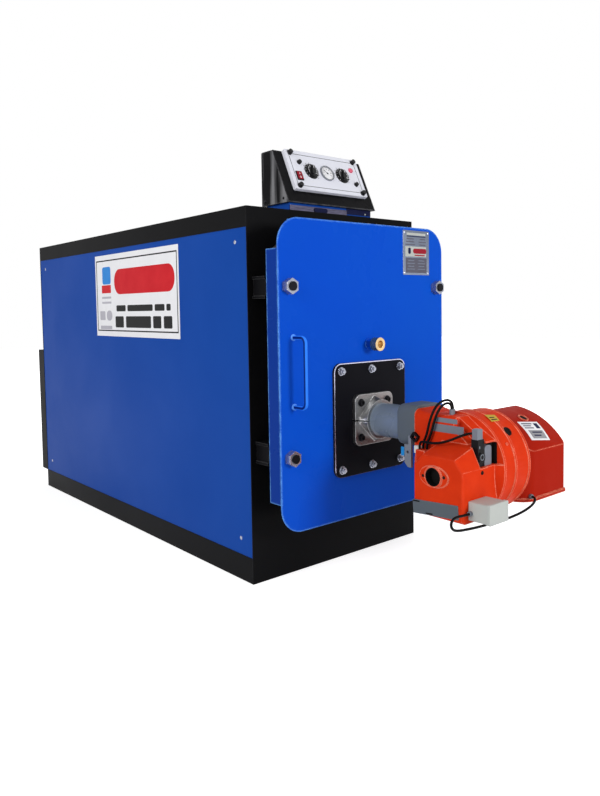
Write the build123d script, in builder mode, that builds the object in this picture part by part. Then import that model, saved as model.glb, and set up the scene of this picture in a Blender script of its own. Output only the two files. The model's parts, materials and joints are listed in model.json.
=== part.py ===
from build123d import *
import math
import os

# Hot-water boiler with a hinged front door that carries a forced-draught burner.
# Millimetres. The origin lies on the floor under the middle of the casing,
# +Z is up, the door faces -Y, and the casing's length runs along Y.

os.makedirs("parts", exist_ok=True)

# Casing
casing_width = 740
casing_length = 1690
casing_height = 1150
plinth_height = 80
cover_rim = 62
sheet = 3
panel_return = 18
panel_inset = 1.5
base_plate = 6
bearer_width = 60
bearer_offset = 200

# Pressure body inside the casing
body_side_gap = 70
body_top_gap = 75
body_bottom = 205
body_corner = 150
furnace_bore = 380
furnace_depth = 1350
furnace_height = 490
tube_plate_thickness = 15
saddle_inset = 60
saddle_length = 80
saddle_offset = 480

# Smoke tubes above the furnace
tube_outer = 51
tube_inner = 43
tube_proud = 8
tube_pitch = 84
tube_row_pitch = 80
tube_furnace_gap = 65
tube_top_gap = 100
tube_side_gap = 30
tube_hole_depth = 200

# Smoke ring that the door closes on
ring_side_gap = 80
ring_bottom_inset = 38
ring_top_inset = 30
ring_corner = 60
ring_wall = 12
ring_depth = 60
frame_gap = 2

# Door
door_side_gap = 4
door_top_gap = 44
door_bottom = 181
door_corner = 80
door_proud = 140
door_sheet = 3
door_edge_round = 2.5
skirt_depth = 53
skirt_margin = 91
door_plate_thickness = 12
door_plate_inset = 16
lining_inset = 4
gasket_width = 16
gasket_height = 5
seal_gap = 5

# Hinges at the right, clamps at the left
bolt_inset = 38
upper_bolt_drop = 200
lower_bolt_rise = 226
bracket_gap = 50
bracket_plate = 8
bracket_edge = 24
bracket_depth = 60
pin_diameter = 20
pin_head = 28
pin_head_height = 6
pin_clearance = 0.1
knuckle_diameter = 42
knuckle_clearance = 0.3
hinge_setback = 43
bolt_diameter = 27
bolt_clearance = 0.5
bolt_stickout = 4
nut_width = 41
nut_height = 22
lock_nut_height = 14
clamp_block_width = 40
clamp_hole_clearance = 2
clamp_engagement = 25

# Handle and sight glass on the door
handle_rod = 12
handle_length = 215
handle_inset = 54
handle_reach = 60
handle_bend = 16
sight_gap = 55
sight_stub_diameter = 34
sight_stub_length = 25
sight_ring_diameter = 42
sight_ring_length = 25
sight_bore = 24
sight_bore_depth = 14

# Burner plate and its bolts
burner_plate_width = 320
burner_plate_height = 354
burner_plate_drop = 173
burner_plate_corner = 28
burner_plate_thickness = 8
plate_bolt_side_inset = 28
plate_bolt_end_inset = 24
plate_bolt_width = 19
plate_bolt_head = 8
plate_washer_diameter = 26
plate_washer_thickness = 3
plate_stud_length = 6
plate_stud_diameter = 11

# Burner flange and blast tube
burner_flange_width = 168
burner_flange_height = 160
burner_flange_corner = 20
burner_flange_thickness = 13
flange_slot_width = 11
flange_slot_length = 24
flange_slot_inset = 25
hub_wall = 10
hub_length = 30
hub_base_square = 106
hub_base_corner = 6
hub_lip = 4
clamp_split = 4
clamp_screw_diameter = 9
clamp_screw_length = 22
clamp_screw_offset = 68
blast_tube_diameter = 104
blast_tube_wall = 4
blast_tube_length = 346
flame_disc_setback = 14
burner_stand_off = 148
collar_height = 120
collar_rise = 6
collar_corner = 26
collar_length = 74
collar_chamfer = 9

# Fan housing: throat, scroll and the housing of the pump at the left
fan_drop = 95
fan_setback = 108
throat_width = 130
throat_back_rise = 153
throat_crest_rise = 144
throat_crest_setback = 70
throat_front_rise = 142
throat_front_reach = 32
throat_bottom_rise = 31
throat_round = 20
nose_left = 43
nose_reach = 120
nose_rise = 85
fan_radius = 148
scroll_right_radius = 144
scroll_left = 65
scroll_eye_radius = 108
scroll_shoulder = 14
scroll_shoulder_radius = 124
rib_proud = 2
rib_thickness = 8
rib_middle = 52
housing_left = 150
housing_right = 130
housing_front = 126
housing_back = 41
housing_drop = 117
housing_end_rise = 48
housing_inner_rise = 76
housing_inner_offset = 60
rear_shoulder = 32
front_shoulder = 26
front_crease_rise = 18
housing_end_round = 9
port_diameter = 50
port_depth = 24
port_rise = -6
port_setback = 32
port_boss_length = 96
port_boss_height = 58
port_boss_proud = 3
port_rim_width = 4
scroll_hole_diameter = 18
scroll_hole_offset = 65
scroll_hole_rise = 99
scroll_hole_depth = 20

# Oil valve with its plug and the air damper's servo in a recess
recess_depth = 32
recess_height = 61
recess_floor_rise = 20
valve_left = 72
valve_width = 26
valve_front = 116
valve_gap = 3
valve_height = 73
valve_cap_diameter = 26
valve_cap_proud = 4
servo_gap = 3
servo_width = 30
servo_height = 54
servo_round = 10
plug_left = 75
plug_width = 23
plug_depth = 17
plug_height = 28
plug_round = 4

# Silencer over the air inlet
silencer_width = 217
silencer_front = 126
silencer_back = 146
silencer_drop = 115
silencer_crease_rise = 29
silencer_curve_front = 44
silencer_curve_rise = 102
silencer_rise = 128
silencer_inner_round = 55
silencer_outer_round = 8
silencer_lip_height = 9
silencer_lip_proud = 5

# Junction box under the front of the housing
junction_width = 78
junction_depth = 67
junction_height = 50
junction_left = 128
junction_rise = -108
junction_round = 3
junction_lid_height = 12
junction_lid_proud = 1.5

# Lug on the throat's left side
lug_width = 25
lug_height = 66
lug_thickness = 8
lug_overlap = 32
lug_rise = 48
lug_hole = 9
lug_hole_drop = 22
lug_arm_width = 10
lug_arm_height = 27

# Leads of the burner and what they run into
lead_diameter = 7
gland_diameter = 13
gland_length = 8
gland_root = 4
entry_width = 32
entry_depth = 33
entry_height = 35
entry_gap = 4
entry_rise = 45
boss_diameter = 12
boss_rise = 158
outer_boss_left = 12
outer_boss_back = 12
inner_boss_left = 26
inner_boss_back = 6
junction_gland_setback = 8
junction_gland_height = 30
silencer_gland_angle = 70
silencer_gland_height = 16

# Smoke box, flue spigot and water nozzles at the rear
smoke_box_side_gap = 14
smoke_box_bottom = 70
smoke_box_height = 590
smoke_box_depth = 112
smoke_box_corner = 12
flue_diameter = 200
flue_wall = 3
flue_length = 110
flue_height = 460
clean_cover_width = 300
clean_cover_height = 130
clean_cover_thickness = 10
clean_cover_bottom = 110
nozzle_inset = 120
nozzle_drop = 210
nozzle_diameter = 76
nozzle_bore = 70
nozzle_length = 90
nozzle_gap = 2
water_flange_diameter = 160
water_flange_thickness = 14
water_flange_circle = 130
water_flange_hole = 14
water_flange_bolts = 4

# Control box on the top cover
control_width = 390
control_height = 176
control_lift = 27
control_rear = 151
control_top_depth = 57
control_front = 14
control_corner = 6
control_base_inset = 12
fascia_width = 324
fascia_height = 149
fascia_thickness = 12
fascia_shift = 5
fascia_rise = 119
fascia_corner = 6
strip_left = 181
strip_right = 66
strip_height = 20
strip_thickness = 3

# Instruments on the fascia, placed from its middle
dial_diameter = 56
dial_flange = 3
dial_body_diameter = 46
dial_height = 8
dial_grip_width = 9
dial_grip_height = 6
dial_offset = 69.5
gauge_diameter = 57
gauge_bore = 49
gauge_height = 5
gauge_depth = 3
knob_diameter = 18
knob_height = 12
knob_side_inset = 21
knob_end_inset = 12.5
cap_diameter = 16
cap_height = 9
cap_left = 113
cap_right = 123
cap_rise = 29
lamp_diameter = 14
lamp_height = 4
lamp_offset = 119
lamp_rise = 27
rocker_width = 19
rocker_length = 27
rocker_height = 5
rocker_offset = 129
rocker_drop = 24
rocker_round = 2

# Places that follow from the sizes above
front_y = -casing_length / 2
rear_y = casing_length / 2
side_x = casing_width / 2
cover_bottom = casing_height - cover_rim
inner_front = front_y + sheet
inner_rear = rear_y - sheet
body_width = casing_width - 2 * body_side_gap
body_height = casing_height - body_top_gap - body_bottom
body_middle = body_bottom + body_height / 2
ring_width = casing_width - 2 * ring_side_gap
ring_height = body_height - ring_bottom_inset - ring_top_inset
ring_middle = body_bottom + ring_bottom_inset + ring_height / 2
ring_front = front_y - ring_depth
door_width = casing_width - 2 * door_side_gap
door_height = casing_height - door_top_gap - door_bottom
door_front = front_y - door_proud
door_middle = door_bottom + door_height / 2
plate_front = door_front + door_sheet
lining_front = plate_front + door_plate_thickness
lining_back = ring_front - seal_gap - gasket_height
nozzle_x = body_width / 2 - nozzle_inset
nozzle_height = casing_height - nozzle_drop
hinge_y = front_y - hinge_setback
bolt_offset = door_width / 2 - bolt_inset
bolt_heights = (door_bottom + door_height - upper_bolt_drop, door_bottom + lower_bolt_rise)
burner_plate_bottom = furnace_height - burner_plate_drop
burner_plate_middle = burner_plate_bottom + burner_plate_height / 2
sight_height = burner_plate_bottom + burner_plate_height + sight_gap
burner_plate_front = door_front - burner_plate_thickness
burner_flange_front = burner_plate_front - burner_flange_thickness
hub_front = burner_flange_front - hub_length
collar_back = burner_flange_front - burner_stand_off
collar_front = collar_back - collar_length
fan_y = collar_front - fan_setback
fan_z = furnace_height - fan_drop
housing_front_y = fan_y - housing_front
housing_back_y = fan_y + housing_back
housing_bottom = fan_z - housing_drop
throat_left = -throat_width / 2


def facing_front(y):
    """Plane at this y that looks towards the front: local x is X, local y is Z."""
    return Plane(origin=(0, y, 0), x_dir=(1, 0, 0), z_dir=(0, -1, 0))


def facing_right(x):
    """Plane at this x that looks towards +X: local x is Y, local y is Z."""
    return Plane(origin=(x, 0, 0), x_dir=(0, 1, 0), z_dir=(1, 0, 0))


# Base frame: a shallow pan with two long bearers that carry the saddles
base_length = inner_rear - inner_front
with BuildPart() as base_frame:
    with BuildSketch(Plane.XY):
        Rectangle(casing_width, base_length)
    extrude(amount=plinth_height)
    with BuildSketch(Plane.XY.offset(base_plate)):
        Rectangle(casing_width - 2 * sheet, base_length - 2 * sheet)
        with Locations((-bearer_offset, 0), (bearer_offset, 0)):
            Rectangle(bearer_width, base_length - 2 * sheet, mode=Mode.SUBTRACT)
    extrude(amount=plinth_height - base_plate, mode=Mode.SUBTRACT)
base_frame.part.label = "base_frame"
export_step(base_frame.part, "parts/base_frame.step")

# Saddles between the bearers and the round corners of the pressure body
with BuildPart() as body_saddles:
    for saddle_y in (-saddle_offset, saddle_offset):
        with BuildSketch(facing_front(saddle_y + saddle_length / 2)):
            with Locations((0, (plinth_height + body_bottom + body_corner) / 2)):
                Rectangle(body_width - 2 * saddle_inset, body_bottom + body_corner - plinth_height)
            with Locations((0, body_middle)):
                RectangleRounded(body_width, body_height, body_corner, mode=Mode.SUBTRACT)
        extrude(amount=saddle_length)
body_saddles.part.label = "body_saddles"
export_step(body_saddles.part, "parts/body_saddles.step")

# Front frame: one sheet with an opening that the smoke ring passes through
with BuildPart() as front_frame:
    with BuildSketch(facing_front(inner_front)):
        with Locations((0, casing_height / 2)):
            Rectangle(casing_width, casing_height)
        with Locations((0, ring_middle)):
            RectangleRounded(
                ring_width + 2 * frame_gap,
                ring_height + 2 * frame_gap,
                ring_corner + frame_gap,
                mode=Mode.SUBTRACT,
            )
    extrude(amount=sheet)
front_frame.part.label = "front_frame"
export_step(front_frame.part, "parts/front_frame.step")

# Rear panel with two holes for the water nozzles
with BuildPart() as rear_panel:
    with BuildSketch(facing_front(rear_y)):
        with Locations((0, casing_height / 2)):
            Rectangle(casing_width, casing_height)
        with Locations((-nozzle_x, nozzle_height), (nozzle_x, nozzle_height)):
            Circle(nozzle_diameter / 2 + nozzle_gap, mode=Mode.SUBTRACT)
    extrude(amount=sheet)
rear_panel.part.label = "rear_panel"
export_step(rear_panel.part, "parts/rear_panel.step")

# Top cover: an upturned tray whose rim shows above the side panels
with BuildPart() as top_cover:
    with BuildSketch(Plane.XY.offset(cover_bottom)):
        Rectangle(casing_width, base_length)
    extrude(amount=cover_rim)
    with BuildSketch(Plane.XY.offset(cover_bottom)):
        Rectangle(casing_width - 2 * sheet, base_length - 2 * sheet)
    extrude(amount=cover_rim - sheet, mode=Mode.SUBTRACT)
top_cover.part.label = "top_cover"
export_step(top_cover.part, "parts/top_cover.step")

# Side panels with folded returns at their front and rear edges
with BuildPart() as side_panel_left:
    with BuildSketch(Plane.XY.offset(plinth_height)):
        with Locations((-side_x + panel_inset + panel_return / 2, 0)):
            Rectangle(panel_return, base_length)
        with Locations((-side_x + panel_inset + sheet + panel_return / 2, 0)):
            Rectangle(panel_return, base_length - 2 * sheet, mode=Mode.SUBTRACT)
    extrude(amount=cover_bottom - plinth_height)
side_panel_left.part.label = "side_panel_left"
export_step(side_panel_left.part, "parts/side_panel_left.step")

with BuildPart() as side_panel_right:
    add(mirror(side_panel_left.part, about=Plane.YZ))
side_panel_right.part.label = "side_panel_right"
export_step(side_panel_right.part, "parts/side_panel_right.step")

# Places of the smoke tubes: rows from the furnace up, every other row one tube shorter
furnace_top = furnace_height + furnace_bore / 2
ring_inner_top = ring_middle + ring_height / 2 - ring_wall
ring_inner_width = ring_width - 2 * ring_wall
lowest_row = furnace_top + tube_furnace_gap
tube_rows = 1 + max(0, int((ring_inner_top - tube_top_gap - lowest_row) / tube_row_pitch))
tube_columns = 1 + int((ring_inner_width - tube_outer - 2 * tube_side_gap) / tube_pitch)
tube_places = []
for row in range(tube_rows):
    row_tubes = tube_columns - row % 2
    for column in range(row_tubes):
        tube_x = (column - (row_tubes - 1) / 2) * tube_pitch
        tube_places.append((tube_x, lowest_row + row * tube_row_pitch))

# Pressure body with the blind furnace and the smoke tubes' front ends
body_front = inner_front + tube_plate_thickness
with BuildPart() as boiler_body:
    with BuildSketch(facing_front(inner_rear)):
        with Locations((0, body_middle)):
            RectangleRounded(body_width, body_height, body_corner)
    extrude(amount=inner_rear - body_front)
    with BuildSketch(facing_front(body_front)):
        with Locations((0, furnace_height)):
            Circle(furnace_bore / 2)
    extrude(amount=-furnace_depth, mode=Mode.SUBTRACT)
    with BuildSketch(facing_front(body_front)):
        with Locations(tube_places):
            Circle(tube_inner / 2)
    extrude(amount=-tube_hole_depth, mode=Mode.SUBTRACT)
boiler_body.part.label = "boiler_body"
export_step(boiler_body.part, "parts/boiler_body.step")

# Front tube plate with the furnace mouth
with BuildPart() as front_tube_plate:
    with BuildSketch(facing_front(body_front)):
        with Locations((0, body_middle)):
            RectangleRounded(body_width, body_height, body_corner)
        with Locations((0, furnace_height)):
            Circle(furnace_bore / 2, mode=Mode.SUBTRACT)
        with Locations(tube_places):
            Circle(tube_inner / 2, mode=Mode.SUBTRACT)
    extrude(amount=tube_plate_thickness)
front_tube_plate.part.label = "front_tube_plate"
export_step(front_tube_plate.part, "parts/front_tube_plate.step")

# Ends of the smoke tubes that stand out of the front tube plate
with BuildPart() as smoke_tubes:
    with BuildSketch(facing_front(inner_front)):
        with Locations(tube_places):
            Circle(tube_outer / 2)
            Circle(tube_inner / 2, mode=Mode.SUBTRACT)
    extrude(amount=tube_proud)
smoke_tubes.part.label = "smoke_tubes"
export_step(smoke_tubes.part, "parts/smoke_tubes.step")

# Smoke ring
with BuildPart() as smoke_ring:
    with BuildSketch(facing_front(inner_front)):
        with Locations((0, ring_middle)):
            RectangleRounded(ring_width, ring_height, ring_corner)
            RectangleRounded(
                ring_inner_width,
                ring_height - 2 * ring_wall,
                ring_corner - ring_wall,
                mode=Mode.SUBTRACT,
            )
    extrude(amount=inner_front - ring_front)
smoke_ring.part.label = "smoke_ring"
export_step(smoke_ring.part, "parts/smoke_ring.step")

# Hinge brackets: two plates above and below each hinge knuckle
bracket_reach = bolt_offset + bracket_edge - ring_width / 2
bracket_x = ring_width / 2 + bracket_reach / 2
bracket_y = front_y - bracket_depth / 2
with BuildPart() as hinge_brackets:
    for bolt_height in bolt_heights:
        for plate_side in (-1, 1):
            plate_middle = bolt_height + plate_side * (bracket_gap + bracket_plate) / 2
            with BuildSketch(Plane.XY.offset(plate_middle - bracket_plate / 2)):
                with Locations((bracket_x, bracket_y)):
                    Rectangle(bracket_reach, bracket_depth)
                with Locations((bolt_offset, hinge_y)):
                    Circle(pin_diameter / 2, mode=Mode.SUBTRACT)
            extrude(amount=bracket_plate)
hinge_brackets.part.label = "hinge_brackets"
export_step(hinge_brackets.part, "parts/hinge_brackets.step")

# Hinge pins, each with a round head on the upper plate
bracket_half = bracket_gap / 2 + bracket_plate
with BuildPart() as hinge_pins:
    for bolt_height in bolt_heights:
        with BuildSketch(Plane.XY.offset(bolt_height - bracket_half)):
            with Locations((bolt_offset, hinge_y)):
                Circle(pin_diameter / 2)
        extrude(amount=2 * bracket_half)
        with BuildSketch(Plane.XY.offset(bolt_height + bracket_half)):
            with Locations((bolt_offset, hinge_y)):
                Circle(pin_head / 2)
        extrude(amount=pin_head_height)
hinge_pins.part.label = "hinge_pins"
export_step(hinge_pins.part, "parts/hinge_pins.step")

# Clamp brackets: the same plates at the left, with a drilled block between them
with BuildPart() as clamp_brackets:
    for bolt_height in bolt_heights:
        with BuildSketch(Plane.XY.offset(bolt_height - bracket_half)):
            with Locations((-bracket_x, bracket_y)):
                Rectangle(bracket_reach, bracket_depth)
        extrude(amount=2 * bracket_half)
        with BuildSketch(facing_front(front_y)):
            with Locations((-bolt_offset, bolt_height)):
                Rectangle(2 * bracket_reach, bracket_gap)
                Rectangle(clamp_block_width, bracket_gap, mode=Mode.SUBTRACT)
        extrude(amount=bracket_depth, mode=Mode.SUBTRACT)
        with BuildSketch(facing_front(front_y - bracket_depth)):
            with Locations((-bolt_offset, bolt_height)):
                Circle(bolt_diameter / 2 + clamp_hole_clearance)
        extrude(amount=-bracket_depth, mode=Mode.SUBTRACT)
clamp_brackets.part.label = "clamp_brackets"
export_step(clamp_brackets.part, "parts/clamp_brackets.step")

# Rear smoke box
smoke_box_middle = smoke_box_bottom + smoke_box_height / 2
smoke_box_rear = rear_y + smoke_box_depth
with BuildPart() as smoke_box:
    with BuildSketch(facing_front(smoke_box_rear)):
        with Locations((0, smoke_box_middle)):
            Rectangle(casing_width - 2 * smoke_box_side_gap, smoke_box_height)
    extrude(amount=smoke_box_depth)
    fillet(smoke_box.faces().sort_by(Axis.Y)[-1].edges(), smoke_box_corner)
smoke_box.part.label = "smoke_box"
export_step(smoke_box.part, "parts/smoke_box.step")

# Flue spigot on the smoke box
with BuildPart() as flue_spigot:
    with BuildSketch(facing_front(smoke_box_rear + flue_length)):
        with Locations((0, flue_height)):
            Circle(flue_diameter / 2)
            Circle(flue_diameter / 2 - flue_wall, mode=Mode.SUBTRACT)
    extrude(amount=flue_length)
flue_spigot.part.label = "flue_spigot"
export_step(flue_spigot.part, "parts/flue_spigot.step")

# Cleaning cover on the smoke box
with BuildPart() as cleaning_cover:
    with BuildSketch(facing_front(smoke_box_rear + clean_cover_thickness)):
        with Locations((0, clean_cover_bottom + clean_cover_height / 2)):
            RectangleRounded(clean_cover_width, clean_cover_height, smoke_box_corner)
    extrude(amount=clean_cover_thickness)
cleaning_cover.part.label = "cleaning_cover"
export_step(cleaning_cover.part, "parts/cleaning_cover.step")


def water_nozzle(x):
    """Flanged pipe stub that passes through the rear panel to the pressure body."""
    with BuildPart() as stub:
        with BuildSketch(facing_front(inner_rear)):
            with Locations((x, nozzle_height)):
                Circle(nozzle_diameter / 2)
        extrude(amount=-(sheet + nozzle_length))
        with BuildSketch(facing_front(rear_y + nozzle_length)):
            with Locations((x, nozzle_height)):
                Circle(water_flange_diameter / 2)
                with PolarLocations(
                    water_flange_circle / 2, water_flange_bolts, start_angle=180 / water_flange_bolts
                ):
                    Circle(water_flange_hole / 2, mode=Mode.SUBTRACT)
        extrude(amount=water_flange_thickness)
        with BuildSketch(facing_front(rear_y + nozzle_length)):
            with Locations((x, nozzle_height)):
                Circle(nozzle_bore / 2)
        extrude(amount=sheet + nozzle_length, mode=Mode.SUBTRACT)
    return stub.part


with BuildPart() as flow_nozzle:
    add(water_nozzle(nozzle_x))
flow_nozzle.part.label = "flow_nozzle"
export_step(flow_nozzle.part, "parts/flow_nozzle.step")

with BuildPart() as return_nozzle:
    add(water_nozzle(-nozzle_x))
return_nozzle.part.label = "return_nozzle"
export_step(return_nozzle.part, "parts/return_nozzle.step")

# Control box: a wedge-fronted housing on a low base near the front edge of the top
control_back_y = front_y + control_rear
control_front_y = front_y + control_front
control_bottom = casing_height + control_lift
control_top_y = control_back_y - control_top_depth
with BuildPart() as control_box:
    with BuildSketch(facing_right(-control_width / 2)):
        with BuildLine():
            Polyline(
                (control_back_y, control_bottom),
                (control_back_y, control_bottom + control_height),
                (control_top_y, control_bottom + control_height),
                (control_front_y, control_bottom),
                close=True,
            )
        make_face()
    extrude(amount=control_width)
    fillet(control_box.edges().group_by(Axis.Z)[-1], control_corner)
control_box.part.label = "control_box"
export_step(control_box.part, "parts/control_box.step")

with BuildPart() as control_base:
    with BuildSketch(Plane.XY.offset(casing_height)):
        with Locations((0, (control_back_y + control_front_y) / 2)):
            Rectangle(
                control_width - 2 * control_base_inset,
                control_back_y - control_front_y - 2 * control_base_inset,
            )
    extrude(amount=control_lift)
control_base.part.label = "control_base"
export_step(control_base.part, "parts/control_base.step")

# Bare metal strip along the front of the base
strip_back = control_front_y + control_base_inset
with BuildPart() as control_strip:
    with BuildSketch(facing_front(strip_back)):
        with Locations(((strip_right - strip_left) / 2, casing_height + strip_height / 2)):
            Rectangle(strip_left + strip_right, strip_height)
    extrude(amount=strip_thickness)
control_strip.part.label = "control_strip"
export_step(control_strip.part, "parts/control_strip.step")

# Fascia on the sloping front
slope_run = control_top_y - control_front_y
slope_length = math.hypot(slope_run, control_height)
slope_share = fascia_rise / slope_length
slope_out = (0, -control_height / slope_length, slope_run / slope_length)
fascia_middle = (
    fascia_shift,
    control_front_y + slope_share * slope_run,
    control_bottom + slope_share * control_height,
)
fascia_plane = Plane(origin=fascia_middle, x_dir=(1, 0, 0), z_dir=slope_out)
instrument_plane = fascia_plane.offset(fascia_thickness)
with BuildPart() as control_fascia:
    with BuildSketch(fascia_plane):
        RectangleRounded(fascia_width, fascia_height, fascia_corner)
    extrude(amount=fascia_thickness)
control_fascia.part.label = "control_fascia"
export_step(control_fascia.part, "parts/control_fascia.step")

# Black knobs: two thermostat dials with a grip, two caps and the four fascia screws
knob_spacing_x = fascia_width - 2 * knob_side_inset
knob_spacing_y = fascia_height - 2 * knob_end_inset
with BuildPart() as control_knobs:
    with BuildSketch(instrument_plane):
        with Locations((-dial_offset, 0), (dial_offset, 0)):
            Circle(dial_diameter / 2)
    extrude(amount=dial_flange)
    with BuildSketch(instrument_plane):
        with Locations((-dial_offset, 0), (dial_offset, 0)):
            Circle(dial_body_diameter / 2)
    extrude(amount=dial_height, taper=8)
    with BuildSketch(instrument_plane):
        with Locations((-dial_offset, 0), (dial_offset, 0)):
            SlotOverall(dial_body_diameter - dial_grip_width, dial_grip_width, rotation=70)
    extrude(amount=dial_height + dial_grip_height)
    with BuildSketch(instrument_plane):
        with GridLocations(knob_spacing_x, knob_spacing_y, 2, 2):
            Circle(knob_diameter / 2)
    extrude(amount=knob_height, taper=6)
    with BuildSketch(instrument_plane):
        with Locations((-cap_left, cap_rise), (cap_right, -cap_rise)):
            Circle(cap_diameter / 2)
    extrude(amount=cap_height, taper=8)
control_knobs.part.label = "control_knobs"
export_step(control_knobs.part, "parts/control_knobs.step")

# Round gauge: a metal rim round a sunk dial
with BuildPart() as control_gauge:
    with BuildSketch(instrument_plane):
        Circle(gauge_diameter / 2)
    extrude(amount=gauge_height)
    with BuildSketch(instrument_plane.offset(gauge_height)):
        Circle(gauge_bore / 2)
    extrude(amount=-gauge_depth, mode=Mode.SUBTRACT)
control_gauge.part.label = "control_gauge"
export_step(control_gauge.part, "parts/control_gauge.step")

# Red rocker switch and red lamp
with BuildPart() as red_switches:
    with BuildSketch(instrument_plane):
        with Locations((-rocker_offset, -rocker_drop)):
            RectangleRounded(rocker_width, rocker_length, rocker_round)
    extrude(amount=rocker_height)
    with BuildSketch(instrument_plane):
        with Locations((lamp_offset, lamp_rise)):
            Circle(lamp_diameter / 2)
    extrude(amount=lamp_height, taper=20)
red_switches.part.label = "red_switches"
export_step(red_switches.part, "parts/red_switches.step")

# Door cover: a sheet with round corners and four folded skirts between them
skirt_height = door_height - 2 * skirt_margin
skirt_width = door_width - 2 * door_corner
stud_places = [(x, z) for x in (-bolt_offset, bolt_offset) for z in bolt_heights]
with BuildPart() as door_cover:
    with BuildSketch(facing_front(plate_front)):
        with Locations((0, door_middle)):
            RectangleRounded(door_width, door_height, door_corner)
    extrude(amount=door_sheet)
    fillet(door_cover.faces().sort_by(Axis.Y)[0].edges(), door_edge_round)
    with BuildSketch(facing_front(plate_front)):
        with Locations(stud_places):
            Circle(bolt_diameter / 2 + bolt_clearance)
        with Locations((0, furnace_height)):
            Circle(blast_tube_diameter / 2 + bolt_clearance)
    extrude(amount=door_sheet, mode=Mode.SUBTRACT)
    with BuildSketch(facing_front(door_front + skirt_depth)):
        with Locations((0, door_middle)):
            Rectangle(door_width, skirt_height)
            Rectangle(door_width - 2 * door_sheet, skirt_height, mode=Mode.SUBTRACT)
            with Locations((0, door_height / 2 - door_sheet / 2), (0, door_sheet / 2 - door_height / 2)):
                Rectangle(skirt_width, door_sheet)
    extrude(amount=skirt_depth - door_sheet)
door_cover.part.label = "door_cover"
export_step(door_cover.part, "parts/door_cover.step")

# Door plate: the steel plate behind the cover that the bolts pass through
door_plate_width = door_width - 2 * door_plate_inset
door_plate_height = door_height - 2 * door_plate_inset
with BuildPart() as door_plate:
    with BuildSketch(facing_front(lining_front)):
        with Locations((0, door_middle)):
            RectangleRounded(door_plate_width, door_plate_height, door_corner - door_plate_inset)
        with Locations(stud_places):
            Circle(bolt_diameter / 2 + bolt_clearance, mode=Mode.SUBTRACT)
        with Locations((0, furnace_height)):
            Circle(blast_tube_diameter / 2 + bolt_clearance, mode=Mode.SUBTRACT)
    extrude(amount=door_plate_thickness)
door_plate.part.label = "door_plate"
export_step(door_plate.part, "parts/door_plate.step")

# Insulating lining with a raised gasket that faces the smoke ring
lining_width = ring_width + lining_inset
lining_height = ring_height + lining_inset
gasket_middle_width = ring_width - ring_wall
gasket_middle_height = ring_height - ring_wall
gasket_corner = ring_corner - ring_wall / 2
with BuildPart() as door_lining:
    with BuildSketch(facing_front(lining_back)):
        with Locations((0, ring_middle)):
            RectangleRounded(lining_width, lining_height, ring_corner)
        with Locations((0, furnace_height)):
            Circle(blast_tube_diameter / 2 + bolt_clearance, mode=Mode.SUBTRACT)
    extrude(amount=lining_back - lining_front)
door_lining.part.label = "door_lining"
export_step(door_lining.part, "parts/door_lining.step")

with BuildPart() as door_gasket:
    with BuildSketch(facing_front(lining_back + gasket_height)):
        with Locations((0, ring_middle)):
            RectangleRounded(
                gasket_middle_width + gasket_width,
                gasket_middle_height + gasket_width,
                gasket_corner + gasket_width / 2,
            )
            RectangleRounded(
                gasket_middle_width - gasket_width,
                gasket_middle_height - gasket_width,
                gasket_corner - gasket_width / 2,
                mode=Mode.SUBTRACT,
            )
    extrude(amount=gasket_height)
door_gasket.part.label = "door_gasket"
export_step(door_gasket.part, "parts/door_gasket.step")

# Hinge bolts: a knuckle round each pin and a stud through the door
stud_front = door_front - nut_height - bolt_stickout
knuckle_height = bracket_gap - 2 * knuckle_clearance
with BuildPart() as hinge_bolts:
    for bolt_height in bolt_heights:
        with BuildSketch(Plane.XY.offset(bolt_height - knuckle_height / 2)):
            with Locations((bolt_offset, hinge_y)):
                Circle(knuckle_diameter / 2)
        extrude(amount=knuckle_height)
        with BuildSketch(facing_front(hinge_y)):
            with Locations((bolt_offset, bolt_height)):
                Circle(bolt_diameter / 2)
        extrude(amount=hinge_y - stud_front)
        with BuildSketch(Plane.XY.offset(bolt_height - knuckle_height / 2)):
            with Locations((bolt_offset, hinge_y)):
                Circle(pin_diameter / 2 + pin_clearance)
        extrude(amount=knuckle_height, mode=Mode.SUBTRACT)
hinge_bolts.part.label = "hinge_bolts"
export_step(hinge_bolts.part, "parts/hinge_bolts.step")

# Clamp bolts: plain studs whose tips stand in the blocks of the left brackets
clamp_tip = front_y - bracket_depth + clamp_engagement
with BuildPart() as clamp_bolts:
    with BuildSketch(facing_front(clamp_tip)):
        with Locations(*[(-bolt_offset, z) for z in bolt_heights]):
            Circle(bolt_diameter / 2)
    extrude(amount=clamp_tip - stud_front)
clamp_bolts.part.label = "clamp_bolts"
export_step(clamp_bolts.part, "parts/clamp_bolts.step")

# Nuts in front of the cover and thin lock nuts behind the door plate
nut_across_corners = nut_width / math.cos(math.pi / 6)
with BuildPart() as door_nuts:
    for nut_back, nut_length in ((door_front, nut_height), (lining_front + lock_nut_height, lock_nut_height)):
        with BuildSketch(facing_front(nut_back)):
            with Locations(stud_places):
                RegularPolygon(nut_across_corners / 2, 6, rotation=30)
                Circle(bolt_diameter / 2, mode=Mode.SUBTRACT)
        extrude(amount=nut_length)
door_nuts.part.label = "door_nuts"
export_step(door_nuts.part, "parts/door_nuts.step")

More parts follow.
